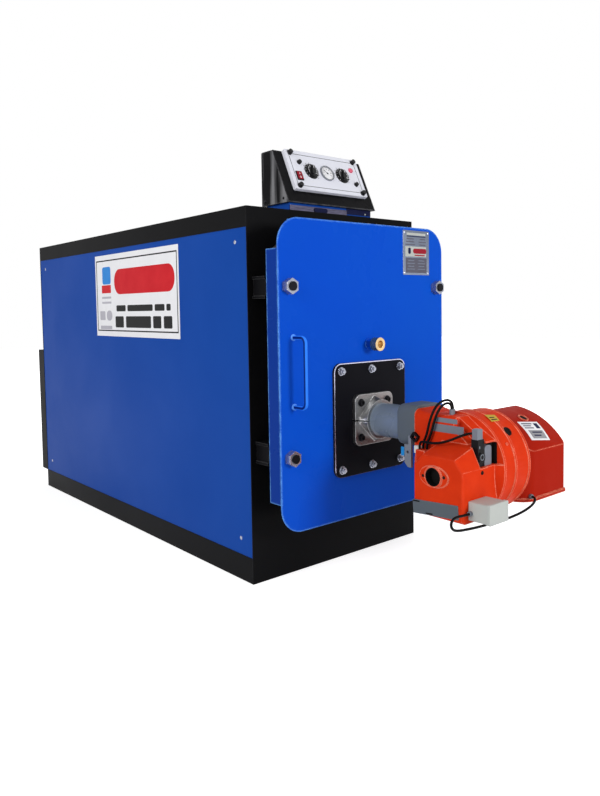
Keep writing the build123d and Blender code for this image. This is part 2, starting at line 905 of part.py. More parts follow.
# Door handle: one bent rod midway between the clamp bolts
handle_x = handle_inset - door_width / 2
handle_bottom = (bolt_heights[0] + bolt_heights[1]) / 2 - handle_length / 2 + handle_rod / 2
handle_top = handle_bottom + handle_length - handle_rod
handle_front = door_front - handle_reach + handle_rod / 2
with BuildPart() as door_handle:
    with BuildLine() as handle_line:
        FilletPolyline(
            (handle_x, door_front, handle_bottom),
            (handle_x, handle_front, handle_bottom),
            (handle_x, handle_front, handle_top),
            (handle_x, door_front, handle_top),
            radius=handle_bend,
        )
    with BuildSketch(facing_front(door_front)):
        with Locations((handle_x, handle_bottom)):
            Circle(handle_rod / 2)
    sweep(path=handle_line.wires()[0])
door_handle.part.label = "door_handle"
export_step(door_handle.part, "parts/door_handle.step")

# Sight glass: a painted stub and a ring with a blind bore
with BuildPart() as sight_stub:
    with BuildSketch(facing_front(door_front)):
        with Locations((0, sight_height)):
            Circle(sight_stub_diameter / 2)
    extrude(amount=sight_stub_length)
sight_stub.part.label = "sight_stub"
export_step(sight_stub.part, "parts/sight_stub.step")

sight_ring_back = door_front - sight_stub_length
with BuildPart() as sight_ring:
    with BuildSketch(facing_front(sight_ring_back)):
        with Locations((0, sight_height)):
            Circle(sight_ring_diameter / 2)
    extrude(amount=sight_ring_length)
    with BuildSketch(facing_front(sight_ring_back - sight_ring_length)):
        with Locations((0, sight_height)):
            Circle(sight_bore / 2)
    extrude(amount=-sight_bore_depth, mode=Mode.SUBTRACT)
sight_ring.part.label = "sight_ring"
export_step(sight_ring.part, "parts/sight_ring.step")

# Burner plate on the door
with BuildPart() as burner_plate:
    with BuildSketch(facing_front(door_front)):
        with Locations((0, burner_plate_middle)):
            RectangleRounded(burner_plate_width, burner_plate_height, burner_plate_corner)
        with Locations((0, furnace_height)):
            Circle(blast_tube_diameter / 2, mode=Mode.SUBTRACT)
    extrude(amount=burner_plate_thickness)
burner_plate.part.label = "burner_plate"
export_step(burner_plate.part, "parts/burner_plate.step")

# Bolts of the burner plate, each a washer, a hexagon head and a stud end
plate_bolt_spacing = burner_plate_width / 2 - plate_bolt_side_inset
plate_bolt_rise = burner_plate_height - 2 * plate_bolt_end_inset
with BuildPart() as plate_bolts:
    for part_front, part_length, part_sides, part_size in (
        (burner_plate_front, plate_washer_thickness, 0, plate_washer_diameter),
        (burner_plate_front - plate_washer_thickness, plate_bolt_head, 6, plate_bolt_width),
        (burner_plate_front - plate_washer_thickness - plate_bolt_head, plate_stud_length, 0, plate_stud_diameter),
    ):
        with BuildSketch(facing_front(part_front)):
            with Locations((0, burner_plate_middle)):
                with GridLocations(plate_bolt_spacing, plate_bolt_rise, 3, 2):
                    if part_sides:
                        RegularPolygon(part_size / 2, part_sides, major_radius=False)
                    else:
                        Circle(part_size / 2)
        extrude(amount=part_length)
plate_bolts.part.label = "plate_bolts"
export_step(plate_bolts.part, "parts/plate_bolts.step")

# Cast burner flange: slotted plate, a hub that runs from a diamond to a circle,
# and a split at the left that a screw pulls together round the blast tube
slot_spacing_x = burner_flange_width - 2 * flange_slot_inset
slot_spacing_z = burner_flange_height - 2 * flange_slot_inset
hub_diameter = blast_tube_diameter + 2 * hub_wall
with BuildPart() as burner_flange:
    with BuildSketch(facing_front(burner_flange_front)):
        with Locations((0, furnace_height)):
            with Locations(Location((0, 0, 0), (0, 0, 45))):
                RectangleRounded(hub_base_square, hub_base_square, hub_base_corner)
    with BuildSketch(facing_front(hub_front + hub_lip)):
        with Locations((0, furnace_height)):
            Circle(hub_diameter / 2)
    loft()
    with BuildSketch(facing_front(hub_front + hub_lip)):
        with Locations((0, furnace_height)):
            Circle(hub_diameter / 2)
    extrude(amount=hub_lip)
    with BuildSketch(facing_front(burner_plate_front)):
        with Locations((0, furnace_height)):
            RectangleRounded(burner_flange_width, burner_flange_height, burner_flange_corner)
            for slot_x in (-1, 1):
                for slot_z in (-1, 1):
                    with Locations((slot_x * slot_spacing_x / 2, slot_z * slot_spacing_z / 2)):
                        SlotOverall(
                            flange_slot_length,
                            flange_slot_width,
                            rotation=45 * slot_x * slot_z,
                            mode=Mode.SUBTRACT,
                        )
    extrude(amount=burner_flange_thickness)
    with BuildSketch(Plane.XY.offset(furnace_height - clamp_screw_length / 2)):
        with Locations((-clamp_screw_offset, burner_flange_front - clamp_screw_diameter / 2)):
            Circle(clamp_screw_diameter / 2)
    extrude(amount=clamp_screw_length)
    with BuildSketch(facing_front(burner_plate_front)):
        with Locations((0, furnace_height)):
            Circle(blast_tube_diameter / 2)
            with Locations((-burner_flange_width / 2, 0)):
                Rectangle(burner_flange_width, clamp_split)
    extrude(amount=burner_flange_thickness + hub_length, mode=Mode.SUBTRACT)
burner_flange.part.label = "burner_flange"
export_step(burner_flange.part, "parts/burner_flange.step")

# Blast tube through the door, open at its furnace end
tube_back = collar_back + blast_tube_length
with BuildPart() as blast_tube:
    with BuildSketch(facing_front(tube_back)):
        with Locations((0, furnace_height)):
            Circle(blast_tube_diameter / 2)
    extrude(amount=blast_tube_length)
    with BuildSketch(facing_front(tube_back)):
        with Locations((0, furnace_height)):
            Circle(blast_tube_diameter / 2 - blast_tube_wall)
    extrude(amount=flame_disc_setback, mode=Mode.SUBTRACT)
blast_tube.part.label = "blast_tube"
export_step(blast_tube.part, "parts/blast_tube.step")

# Collar between the blast tube and the throat of the fan housing
with BuildPart() as head_collar:
    with BuildSketch(facing_front(collar_back)):
        with Locations((0, furnace_height + collar_rise)):
            RectangleRounded(throat_width, collar_height, collar_corner)
    extrude(amount=collar_length)
    chamfer(head_collar.faces().sort_by(Axis.Y)[-1].edges(), collar_chamfer)
head_collar.part.label = "head_collar"
export_step(head_collar.part, "parts/head_collar.step")


def pump_housing_outline(x, rise):
    """Outline of the pump housing at this x, with sloping shoulders under a top at this rise."""
    top = fan_z + rise
    with BuildSketch(facing_right(x)) as outline:
        with BuildLine():
            Polyline(
                (housing_back_y, housing_bottom),
                (housing_back_y, top - rear_shoulder),
                (housing_back_y - rear_shoulder, top),
                (housing_front_y + front_shoulder, top),
                (housing_front_y, fan_z + front_crease_rise),
                (housing_front_y, housing_bottom),
                close=True,
            )
        make_face()
    return outline.sketch


# Fan housing: a scroll about an axis along X, a throat towards the collar,
# and the pump's housing at the left with its port and a recess in front
port_y = fan_y - port_setback
port_z = fan_z + port_rise
recess_left = valve_left + valve_gap
recess_floor = fan_z + recess_floor_rise
with BuildPart() as fan_housing:
    loft([pump_housing_outline(-housing_left, housing_end_rise),
          pump_housing_outline(-housing_inner_offset, housing_inner_rise)], ruled=True)
    fillet(fan_housing.faces().sort_by(Axis.X)[0].edges(), housing_end_round)
    add(extrude(pump_housing_outline(-housing_inner_offset, housing_inner_rise), amount=housing_inner_offset))
    with BuildPart() as throat:
        with BuildSketch(facing_right(throat_left)):
            with BuildLine():
                Polyline(
                    (collar_front, fan_z + throat_bottom_rise),
                    (collar_front, fan_z + throat_back_rise),
                    (fan_y + throat_crest_setback, fan_z + throat_crest_rise),
                    (fan_y - throat_front_reach, fan_z + throat_front_rise),
                    (fan_y - throat_front_reach, fan_z),
                    (fan_y, fan_z),
                    close=True,
                )
            make_face()
        extrude(amount=throat_width)
        fillet(throat.faces().sort_by(Axis.Z)[-2:].edges().filter_by(Axis.X, reverse=True), throat_round)
    with BuildSketch(facing_right(-nose_left)):
        with BuildLine():
            Polyline(
                (fan_y - throat_front_reach, fan_z),
                (fan_y - throat_front_reach, fan_z + throat_front_rise),
                (fan_y - nose_reach, fan_z + nose_rise),
                (fan_y - nose_reach, fan_z),
                close=True,
            )
        make_face()
    extrude(amount=nose_left + rib_thickness)
    with BuildSketch(Plane(origin=(0, fan_y, fan_z), x_dir=(1, 0, 0), z_dir=(0, -1, 0))):
        with BuildLine():
            Polyline(
                (-scroll_left, 0),
                (-scroll_left, scroll_eye_radius),
                (-scroll_shoulder, scroll_shoulder_radius),
                (0, fan_radius + rib_proud),
                (rib_thickness, fan_radius + rib_proud),
                (rib_thickness, fan_radius),
                (rib_middle, fan_radius),
                (rib_middle, fan_radius + rib_proud),
                (rib_middle + rib_thickness, fan_radius + rib_proud),
                (rib_middle + rib_thickness, fan_radius),
                (housing_right - rib_thickness, scroll_right_radius),
                (housing_right - rib_thickness, scroll_right_radius + rib_proud),
                (housing_right, scroll_right_radius + rib_proud),
                (housing_right, 0),
                close=True,
            )
        make_face()
    revolve(axis=Axis((0, fan_y, fan_z), (1, 0, 0)))
    with BuildSketch(facing_front(housing_front_y + recess_depth)):
        with Locations((-recess_left / 2, recess_floor + recess_height / 2)):
            Rectangle(recess_left, recess_height)
        with Locations((valve_width / 2 - valve_left, recess_floor + valve_height / 2)):
            Rectangle(valve_width + 2 * valve_gap, valve_height + valve_gap)
    extrude(amount=recess_depth + fan_radius, mode=Mode.SUBTRACT)
    with BuildSketch(facing_right(-housing_left)):
        with Locations((port_y, port_z)):
            Ellipse(port_boss_length / 2, port_boss_height / 2)
    extrude(amount=-port_boss_proud)
    with BuildSketch(facing_right(-housing_left - port_boss_proud)):
        with Locations((port_y, port_z)):
            Circle(port_diameter / 2 + port_rim_width)
    extrude(amount=-port_boss_proud)
    with BuildSketch(facing_right(-housing_left - 2 * port_boss_proud)):
        with Locations((port_y, port_z)):
            Circle(port_diameter / 2)
    extrude(amount=port_depth, mode=Mode.SUBTRACT)
    with BuildSketch(facing_front(fan_y - fan_radius)):
        with Locations((scroll_hole_offset, fan_z + scroll_hole_rise)):
            Circle(scroll_hole_diameter / 2)
    extrude(amount=-(fan_radius - scroll_hole_rise + scroll_hole_depth), mode=Mode.SUBTRACT)
    add(head_collar.part, mode=Mode.SUBTRACT)
fan_housing.part.label = "fan_housing"
export_step(fan_housing.part, "parts/fan_housing.step")

# Oil valve in the recess, with a round cap on its front
recess_back = housing_front_y + recess_depth
valve_front_y = fan_y - valve_front
with BuildPart() as valve_body:
    with BuildSketch(facing_front(recess_back)):
        with Locations((valve_width / 2 - valve_left, recess_floor + valve_height / 2)):
            Rectangle(valve_width, valve_height)
    extrude(amount=recess_back - valve_front_y)
    with BuildSketch(facing_front(valve_front_y)):
        with Locations((valve_width / 2 - valve_left, recess_floor + valve_height / 3)):
            Circle(valve_cap_diameter / 2)
    extrude(amount=valve_cap_proud)
valve_body.part.label = "valve_body"
export_step(valve_body.part, "parts/valve_body.step")

# Servo beside the valve
servo_left = valve_width - valve_left + servo_gap
with BuildPart() as valve_servo:
    with BuildSketch(facing_front(recess_back)):
        with Locations((servo_left + servo_width / 2, recess_floor + servo_height / 2)):
            Rectangle(servo_width, servo_height)
        fillet(vertices().group_by(Axis.Y)[-1], servo_round)
    extrude(amount=recess_back - valve_front_y)
valve_servo.part.label = "valve_servo"
export_step(valve_servo.part, "parts/valve_servo.step")

# Silencer: a hood with a curved front over a box whose inner front corner is well rounded
silencer_front_y = fan_y - silencer_front
silencer_back_y = fan_y + silencer_back
silencer_bottom = fan_z - silencer_drop
silencer_right = housing_right + silencer_width
with BuildPart() as silencer:
    with BuildSketch(facing_right(housing_right)):
        with BuildLine():
            hood = ThreePointArc(
                (silencer_front_y, fan_z + silencer_crease_rise),
                (fan_y - silencer_curve_front, fan_z + silencer_curve_rise),
                (fan_y + silencer_curve_front, fan_z + silencer_rise),
            )
            Line(hood @ 1, (silencer_back_y, fan_z + silencer_curve_rise))
            Polyline(
                (silencer_back_y, fan_z + silencer_curve_rise),
                (silencer_back_y, silencer_bottom),
                (silencer_front_y, silencer_bottom),
                hood @ 0,
            )
        make_face()
    extrude(amount=silencer_width)
    with BuildSketch(Plane.XY.offset(silencer_bottom)):
        with Locations(((housing_right + silencer_right) / 2, (silencer_front_y + silencer_back_y) / 2)):
            Rectangle(silencer_width, silencer_front + silencer_back)
        fillet(vertices().group_by(Axis.X)[-1], silencer_outer_round)
        fillet(vertices().group_by(Axis.X)[0].sort_by(Axis.Y)[0], silencer_inner_round)
    extrude(amount=silencer_drop + silencer_rise, mode=Mode.INTERSECT)
    with BuildSketch(Plane.XY.offset(silencer_bottom)):
        with Locations(((housing_right + silencer_right) / 2, (silencer_front_y + silencer_back_y) / 2)):
            Rectangle(silencer_width, silencer_front + silencer_back)
        fillet(vertices().group_by(Axis.X)[-1], silencer_outer_round)
        fillet(vertices().group_by(Axis.X)[0].sort_by(Axis.Y)[0], silencer_inner_round)
        offset(amount=silencer_lip_proud)
        with Locations((housing_right - silencer_lip_proud, fan_y)):
            Rectangle(2 * silencer_lip_proud, 2 * (silencer_front + silencer_back), mode=Mode.SUBTRACT)
    extrude(amount=silencer_lip_height)
silencer.part.label = "silencer"
export_step(silencer.part, "parts/silencer.step")

# Junction box against the front of the housing, with a lid at its front
junction_bottom = fan_z + junction_rise
junction_middle = (junction_width / 2 - junction_left, junction_bottom + junction_height / 2)
with BuildPart() as junction_box:
    with BuildSketch(facing_front(housing_front_y)):
        with Locations(junction_middle):
            RectangleRounded(junction_width, junction_height, junction_round)
    extrude(amount=junction_depth)
    with BuildSketch(facing_front(housing_front_y - junction_depth + junction_lid_height)):
        with Locations(junction_middle):
            RectangleRounded(
                junction_width + 2 * junction_lid_proud,
                junction_height + 2 * junction_lid_proud,
                junction_round,
            )
    extrude(amount=junction_lid_height)
junction_box.part.label = "junction_box"
export_step(junction_box.part, "parts/junction_box.step")

# Lug with a hole that hangs from the throat's left side
lug_top = fan_z + lug_rise
lug_back = collar_front + lug_overlap
with BuildPart() as pump_lug:
    with BuildSketch(facing_right(throat_left)):
        with BuildLine():
            Polyline(
                (lug_back, lug_top),
                (lug_back, lug_top - lug_height + lug_width / 2),
                (lug_back - lug_width / 2, lug_top - lug_height),
                (lug_back - lug_width, lug_top - lug_height),
                (lug_back - lug_width, lug_top),
                close=True,
            )
        make_face()
        with Locations((lug_back - lug_width + lug_arm_width / 2, lug_top)):
            Rectangle(lug_arm_width, 2 * lug_arm_height)
        with Locations((lug_back - lug_width / 2, lug_top - lug_hole_drop)):
            Circle(lug_hole / 2, mode=Mode.SUBTRACT)
    extrude(amount=-lug_thickness)
pump_lug.part.label = "pump_lug"
export_step(pump_lug.part, "parts/pump_lug.step")

# Block on the scroll's left face that three leads come out of
entry_top = fan_z + entry_rise
with BuildPart() as lead_entry:
    with BuildSketch(Plane.XY.offset(entry_top - entry_height)):
        with Locations((-scroll_left - entry_width / 2, housing_back_y + entry_gap + entry_depth / 2)):
            Rectangle(entry_width, entry_depth)
    extrude(amount=entry_height)
lead_entry.part.label = "lead_entry"
export_step(lead_entry.part, "parts/lead_entry.step")

# What the leads run into: the valve's plug, two bosses on the throat
# and a gland each on the junction box and on the silencer's round corner
plug_bottom = recess_floor + valve_height
plug_back = valve_front_y + plug_depth
boss_top = fan_z + boss_rise
junction_gland_z = junction_bottom + junction_height - junction_gland_height
junction_gland_y = housing_front_y - junction_gland_setback
gland_turn = math.radians(silencer_gland_angle)
gland_out = Vector(-math.cos(gland_turn), -math.sin(gland_turn), 0)
gland_centre = Vector(
    housing_right + silencer_inner_round,
    silencer_front_y + silencer_inner_round,
    silencer_bottom + silencer_gland_height,
)
with BuildPart() as lead_glands:
    with BuildSketch(facing_front(plug_back)):
        with Locations((plug_width / 2 - plug_left, plug_bottom + plug_height / 2)):
            Rectangle(plug_width, plug_height)
    extrude(amount=plug_depth)
    fillet(lead_glands.edges().group_by(Axis.Z)[-1].filter_by(Axis.Y), plug_round)
    with BuildSketch(facing_right(-junction_left)):
        with Locations((junction_gland_y, junction_gland_z)):
            Circle(gland_diameter / 2)
    extrude(amount=-gland_length)
    with BuildSketch(Plane(origin=gland_centre + gland_out * (silencer_inner_round - gland_root), z_dir=gland_out)):
        Circle(gland_diameter / 2)
    extrude(amount=gland_root + gland_length)
    with BuildSketch(Plane.XY.offset(boss_top)):
        with Locations((-outer_boss_left, fan_y + outer_boss_back), (-inner_boss_left, fan_y + inner_boss_back)):
            Circle(boss_diameter / 2)
    extrude(amount=fan_z + throat_front_rise - throat_round - boss_top)
    add(fan_housing.part, mode=Mode.SUBTRACT)
    add(silencer.part, mode=Mode.SUBTRACT)
lead_glands.part.label = "lead_glands"
export_step(lead_glands.part, "parts/lead_glands.step")


def burner_route(*points):
    """Route of a lead, its points given from the fan's axis."""
    return [Vector(x, fan_y + y, fan_z + z) for x, y, z in points]


def lead_tube(name, route):
    """Plain tube of runs and arcs, each arc as large as the shorter run beside it allows."""
    radii = []
    for before, corner, after in zip(route, route[1:], route[2:]):
        turn = math.radians((corner - before).get_angle(after - corner))
        shorter = min((corner - before).length, (after - corner).length)
        radii.append(0.45 * shorter / math.tan(turn / 2))
    with BuildPart() as tube:
        with BuildLine() as centre:
            FilletPolyline(*route, radius=radii)
        path = centre.wires()[0]
        with BuildSketch(Plane(origin=route[0], z_dir=route[1] - route[0])):
            Circle(lead_diameter / 2)
        sweep(path=path)
    section = math.pi * lead_diameter**2 / 4
    print(
        name,
        "length %.1f" % path.length,
        "volume share %.4f" % (tube.part.volume / (section * path.length)),
        "radii",
        " ".join("%.0f" % r for r in radii),
    )
    return tube.part


# Two ignition leads that arch from the block over the throat to their bosses
entry_rear = housing_back + entry_gap + entry_depth
with BuildPart() as lead_outer:
    add(lead_tube("lead_outer", burner_route(
        (-75, entry_rear - 10, entry_rise), (-75, entry_rear - 10, entry_rise + 15),
        (-78, 52, 88), (-82, 40, 122), (-78, 31, 152), (-64, 25, 174), (-45, 19, 184), (-25, 14, 184),
        (-outer_boss_left, outer_boss_back, boss_rise + 13), (-outer_boss_left, outer_boss_back, boss_rise),
    )))
lead_outer.part.label = "lead_outer"
export_step(lead_outer.part, "parts/lead_outer.step")

with BuildPart() as lead_inner:
    add(lead_tube("lead_inner", burner_route(
        (-75, entry_rear - 24, entry_rise), (-75, entry_rear - 24, entry_rise + 15),
        (-75, 40, 88), (-77, 29, 118), (-74, 22, 144), (-64, 17, 164), (-51, 12, 175), (-37, 8, 177),
        (-inner_boss_left, inner_boss_back, boss_rise + 12), (-inner_boss_left, inner_boss_back, boss_rise),
    )))
lead_inner.part.label = "lead_inner"
export_step(lead_inner.part, "parts/lead_inner.step")

# Lead from the block over the pump housing to the valve's plug
plug_x = plug_width / 2 - plug_left
plug_z = plug_bottom + plug_height / 2 - fan_z
plug_y = plug_back - fan_y
with BuildPart() as lead_servo:
    add(lead_tube("lead_servo", burner_route(
        (-87, entry_rear - 7, entry_rise), (-87, entry_rear - 7, entry_rise + 12), (-92, 61, 68),
        (-99, 44, 71), (-103, 18, 71), (-103, -12, 75), (-98, -42, 85), (-88, -64, 97), (-75, -79, 104),
        (plug_x, plug_y + 11, plug_z), (plug_x, plug_y, plug_z),
    )))
lead_servo.part.label = "lead_servo"
export_step(lead_servo.part, "parts/lead_servo.step")

# Lead that loops out of the junction box and runs below the housing to the silencer
gland_tip = gland_centre + gland_out * (silencer_inner_round + gland_length)
gland_before = gland_tip + gland_out * 11
tip = (gland_tip.X, gland_tip.Y - fan_y, gland_tip.Z - fan_z)
before_tip = (gland_before.X, gland_before.Y - fan_y, gland_before.Z - fan_z)
start_x = -junction_left - gland_length
start_y = junction_gland_y - fan_y
start_z = junction_gland_z - fan_z
with BuildPart() as lead_junction:
    add(lead_tube("lead_junction", burner_route(
        (start_x, start_y, start_z), (start_x - 18, start_y, start_z),
        (-178, -133, -86), (-196, -133, -87), (-206, -132, -95), (-207, -132, -107), (-198, -132, -117),
        (-180, -132, -123), (-148, -131, -127), (-104, -131, -131), (-50, -133, -133), (0, -139, -132),
        (40, -148, -127), (80, -156, -119), (116, -158, -110), (143, -152, -103), before_tip, tip,
    )))
lead_junction.part.label = "lead_junction"
export_step(lead_junction.part, "parts/lead_junction.step")
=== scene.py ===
import json
import math

import bmesh
import bpy
from mathutils import Matrix, Vector


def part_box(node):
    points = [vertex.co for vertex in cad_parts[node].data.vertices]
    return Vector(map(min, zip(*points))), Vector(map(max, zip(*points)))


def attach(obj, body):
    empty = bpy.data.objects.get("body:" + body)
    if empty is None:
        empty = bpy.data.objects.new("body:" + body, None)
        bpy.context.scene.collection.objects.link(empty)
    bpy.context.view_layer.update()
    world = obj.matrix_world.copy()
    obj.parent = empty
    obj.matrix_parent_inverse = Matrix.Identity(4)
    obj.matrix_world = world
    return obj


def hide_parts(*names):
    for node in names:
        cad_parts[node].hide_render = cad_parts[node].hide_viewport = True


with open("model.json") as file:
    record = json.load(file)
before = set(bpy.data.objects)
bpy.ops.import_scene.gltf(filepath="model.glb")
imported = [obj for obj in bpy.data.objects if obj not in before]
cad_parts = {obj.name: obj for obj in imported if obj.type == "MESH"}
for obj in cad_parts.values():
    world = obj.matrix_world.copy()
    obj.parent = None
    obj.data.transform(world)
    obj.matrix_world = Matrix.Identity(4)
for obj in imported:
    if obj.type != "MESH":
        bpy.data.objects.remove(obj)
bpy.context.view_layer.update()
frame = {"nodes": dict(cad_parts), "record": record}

bl_info = {
    "name": "Boiler with a forced-draught burner",
    "version": (1, 0, 0),
    "blender": (4, 5, 0),
    "location": "3D View > Sidebar > Boiler",
    "description": "Finishes, prints, small fittings and studio for a boiler with a swinging burner door",
    "category": "Add Mesh",
}

UP = Vector((0, 0, 1))
FRONT = Vector((0, -1, 0))
REAR = Vector((0, 1, 0))
LEFT = Vector((-1, 0, 0))
RIGHT = Vector((1, 0, 0))

# Camera that matches the photograph: place in metres, turns about z, x and y in degrees, lens in millimetres,
# and how far the photograph's middle lies from the lens's axis, as a share of its height
VIEW_PLACE = Vector((-1.61296303, -2.56450511, 0.84224508))
VIEW_TURNS = (-40.01271283, -3.37554835, 0.92822055)
VIEW_LENS = 31.961
VIEW_SHIFT = -48.0 / 796.0

# Axis of the burner's fan, which its leads and trim are placed from, and the radius of its scroll
FAN = Vector((0, -1.336, 0.395))
SCROLL_RADIUS = 0.148

# Axis and radius of the silencer's round hood
HOOD = Vector((0, -1.2719, 0.293))
HOOD_RADIUS = 0.2309

# Left faces of the burner's pump housing and of its throat
HOUSING_LEFT = -0.150
THROAT_LEFT = -0.065

# Middle of the sloping control fascia and its two directions
FASCIA_MIDDLE = Vector((0.005, -0.79269, 1.29030))
FASCIA_UP = Vector((0, 0.4134, 0.9105))
FASCIA_OUT = Vector((0, -0.9105, 0.4134))

# Thickness of the print on the fascia
FASCIA_PRINT = 0.0001


# ---------------- settings

def colour_setting(name, description, default):
    return bpy.props.FloatVectorProperty(
        name=name, description=description, default=default, subtype="COLOR", size=3, min=0, max=1)


def number_setting(name, description, default, unit="LENGTH", lowest=0.0):
    return bpy.props.FloatProperty(name=name, description=description, default=default, min=lowest, unit=unit)


class BoilerPaint(bpy.types.PropertyGroup):
    """Colours of the paints and plastics"""
    # Painted shade: the side panels' blue is the door's paint made darker, for the side that gets less light
    casing_blue: colour_setting("Casing blue", "Enamel of the side panels", (0.006, 0.062, 0.345))
    door_blue: colour_setting("Door blue", "Enamel of the door", (0.003, 0.070, 0.565))
    casing_black: colour_setting("Casing black", "Enamel of frame, base and top", (0.0042, 0.0042, 0.0048))
    burner_orange: colour_setting("Burner orange", "Burner housing", (0.66, 0.038, 0.006))
    # Painted shade: the silencer's colour is a darker copy of the burner's orange
    silencer_red: colour_setting("Silencer red", "Silencer at the fan's inlet", (0.36, 0.013, 0.004))
    burner_grey: colour_setting("Burner grey", "Collar and small grey parts", (0.105, 0.125, 0.145))
    box_grey: colour_setting("Box grey", "Junction box", (0.46, 0.485, 0.46))


class BoilerPrint(bpy.types.PropertyGroup):
    """Sizes of the side label and of the plate on the door"""
    label_width: number_setting("Label width", "Side label along the casing", 0.670)
    label_height: number_setting("Label height", "Side label from bottom to top", 0.325)
    label_middle: number_setting("Label place", "Side label's middle along the casing", -0.110, lowest=-1.0)
    label_rise: number_setting("Label rise", "Side label's middle above the floor", 0.9055)
    plate_width: number_setting("Plate width", "Plate on the door", 0.132)
    plate_height: number_setting("Plate height", "Plate on the door", 0.148)


class BoilerStudio(bpy.types.PropertyGroup):
    """Lamps and surroundings"""
    key_power: number_setting("Key lamp", "Power of the lamp in front", 82, "POWER")
    fill_power: number_setting("Fill lamp", "Power of the lamp at the left", 120, "POWER")
    rear_power: number_setting("Rear lamp", "Power of the lamp behind, at the right", 110, "POWER")
    sky: number_setting("Sky", "Strength of the light from all round", 0.4, "NONE")


# ---------------- shader nodes

def fill(tree, node, sockets):
    """Give a node's sockets their values or links."""
    for socket, value in sockets.items():
        if isinstance(value, bpy.types.NodeSocket):
            tree.links.new(value, node.inputs[socket])
        else:
            node.inputs[socket].default_value = value


def put(tree, kind, sockets=None, **options):
    """Add a shader node with these options and sockets."""
    node = tree.nodes.new(kind)
    for option, value in options.items():
        setattr(node, option, value)
    fill(tree, node, sockets or {})
    return node


def spread(tree, value, low, high, out_low=0.0, out_high=1.0):
    """Map a value between two limits to another range."""
    return put(tree, "ShaderNodeMapRange", {
        "Value": value, "From Min": low, "From Max": high, "To Min": out_low, "To Max": out_high,
    }).outputs["Result"]


def combine(tree, first, second, operation="MULTIPLY"):
    """Sum of two values, their product or the like."""
    return put(tree, "ShaderNodeMath", {0: first, 1: second}, operation=operation).outputs[0]


def blend_colours(tree, share, first, second):
    """First colour where the share is nothing and second where it is one."""
    return put(tree, "ShaderNodeMix", {0: share, 6: first, 7: second}, data_type="RGBA").outputs[2]


def object_place(tree):
    return put(tree, "ShaderNodeTexCoord").outputs["Object"]


def stretched(tree, place, scale):
    return put(tree, "ShaderNodeMapping", {"Vector": place, "Scale": scale}).outputs["Vector"]


def noise(tree, place, scale, detail, roughness=0.5, distortion=0.0):
    """Cloudy pattern of values between nothing and one."""
    return put(tree, "ShaderNodeTexNoise", {
        "Vector": place, "Scale": scale, "Detail": detail, "Roughness": roughness, "Distortion": distortion,
    }).outputs["Fac"]


def new_group(name, inputs, outputs):
    """Shader node group with named inputs, whose defaults tell their kind, and named outputs.
    Returns it and the sockets that its inputs arrive at."""
    kinds = {1: "NodeSocketFloat", 3: "NodeSocketVector", 4: "NodeSocketColor"}
    group = bpy.data.node_groups.new(name, "ShaderNodeTree")
    for label, value in inputs.items():
        kind = kinds[len(value) if isinstance(value, tuple) else 1]
        group.interface.new_socket(name=label, in_out="INPUT", socket_type=kind).default_value = value
    for label in outputs:
        kind = kinds[4 if label == "Colour" else 1]
        group.interface.new_socket(name=label, in_out="OUTPUT", socket_type=kind)
    return group, put(group, "NodeGroupInput").outputs


def varied_roughness(group, given, share):
    """A group's roughness, moved by half its change up or down as the share goes from one to nothing."""
    change = combine(group, spread(group, share, 0, 1, -0.5, 0.5), given["Roughness Change"])
    return combine(group, given["Roughness"], change, "ADD")


def surface_film_group():
    """Cloudy shade, changing gloss and fine grain of a painted or moulded surface."""
    group, given = new_group(
        "surface_film",
        {"Colour": (0.5, 0.5, 0.5, 1), "Shade": (0.4, 0.4, 0.4, 1), "Amount": 0.3, "Roughness": 0.4,
         "Roughness Change": 0.1, "Patch Scale": 3.0, "Grain Scale": 600.0},
        ("Colour", "Roughness", "Height"))
    place = object_place(group)
    cloud = spread(group, noise(group, place, given["Patch Scale"], 5.0, 0.62, 0.4), 0.35, 0.68)
    shade = combine(group, cloud, given["Amount"])
    put(group, "NodeGroupOutput", {
        "Colour": blend_colours(group, shade, given["Colour"], given["Shade"]),
        "Roughness": varied_roughness(group, given, cloud),
        "Height": noise(group, place, given["Grain Scale"], 2.0)})
    return group


def edge_wear_group():
    """Mask of the outer edges, broken up, where paint thins and metal is polished, and where a highlight is
    painted.
    """
    group, given = new_group("edge_wear", {"Radius": 0.002, "Amount": 0.5, "Full At": 0.86}, ("Mask",))
    rounded = put(group, "ShaderNodeBevel", {"Radius": given["Radius"]}, samples=4).outputs["Normal"]
    flat = put(group, "ShaderNodeNewGeometry").outputs["Normal"]
    facing = put(group, "ShaderNodeVectorMath", {0: rounded, 1: flat}, operation="DOT_PRODUCT")
    edge = spread(group, facing.outputs["Value"], 0.99, given["Full At"])
    breaks = spread(group, noise(group, object_place(group), 34.0, 6.0, 0.7), 0.36, 0.56, 0.25, 1.0)
    mask = combine(group, combine(group, edge, breaks), given["Amount"])
    put(group, "NodeGroupOutput", {"Mask": mask})
    return group


def metal_lay_group():
    """Streaks that a tool or roller leaves in metal, with the bright and dull bands between them."""
    group, given = new_group(
        "metal_lay",
        {"Stretch": (40.0, 400.0, 400.0), "Bright": (0.7, 0.7, 0.7, 1), "Dull": (0.5, 0.5, 0.5, 1),
         "Roughness": 0.3, "Roughness Change": 0.15},
        ("Colour", "Roughness", "Height"))
    place = object_place(group)
    streaks = noise(group, stretched(group, place, given["Stretch"]), 1.0, 4.0, 0.65)
    stains = noise(group, place, 24.0, 4.0)
    share = combine(group, spread(group, streaks, 0.3, 0.7), spread(group, stains, 0.3, 0.7, 0.4, 1.0))
    put(group, "NodeGroupOutput", {
        "Colour": blend_colours(group, share, given["Bright"], given["Dull"]),
        "Roughness": varied_roughness(group, given, share),
        "Height": streaks})
    return group


GROUP_MAKERS = {
    "surface_film": surface_film_group,
    "edge_wear": edge_wear_group,
    "metal_lay": metal_lay_group,
}
GROUPS = {}


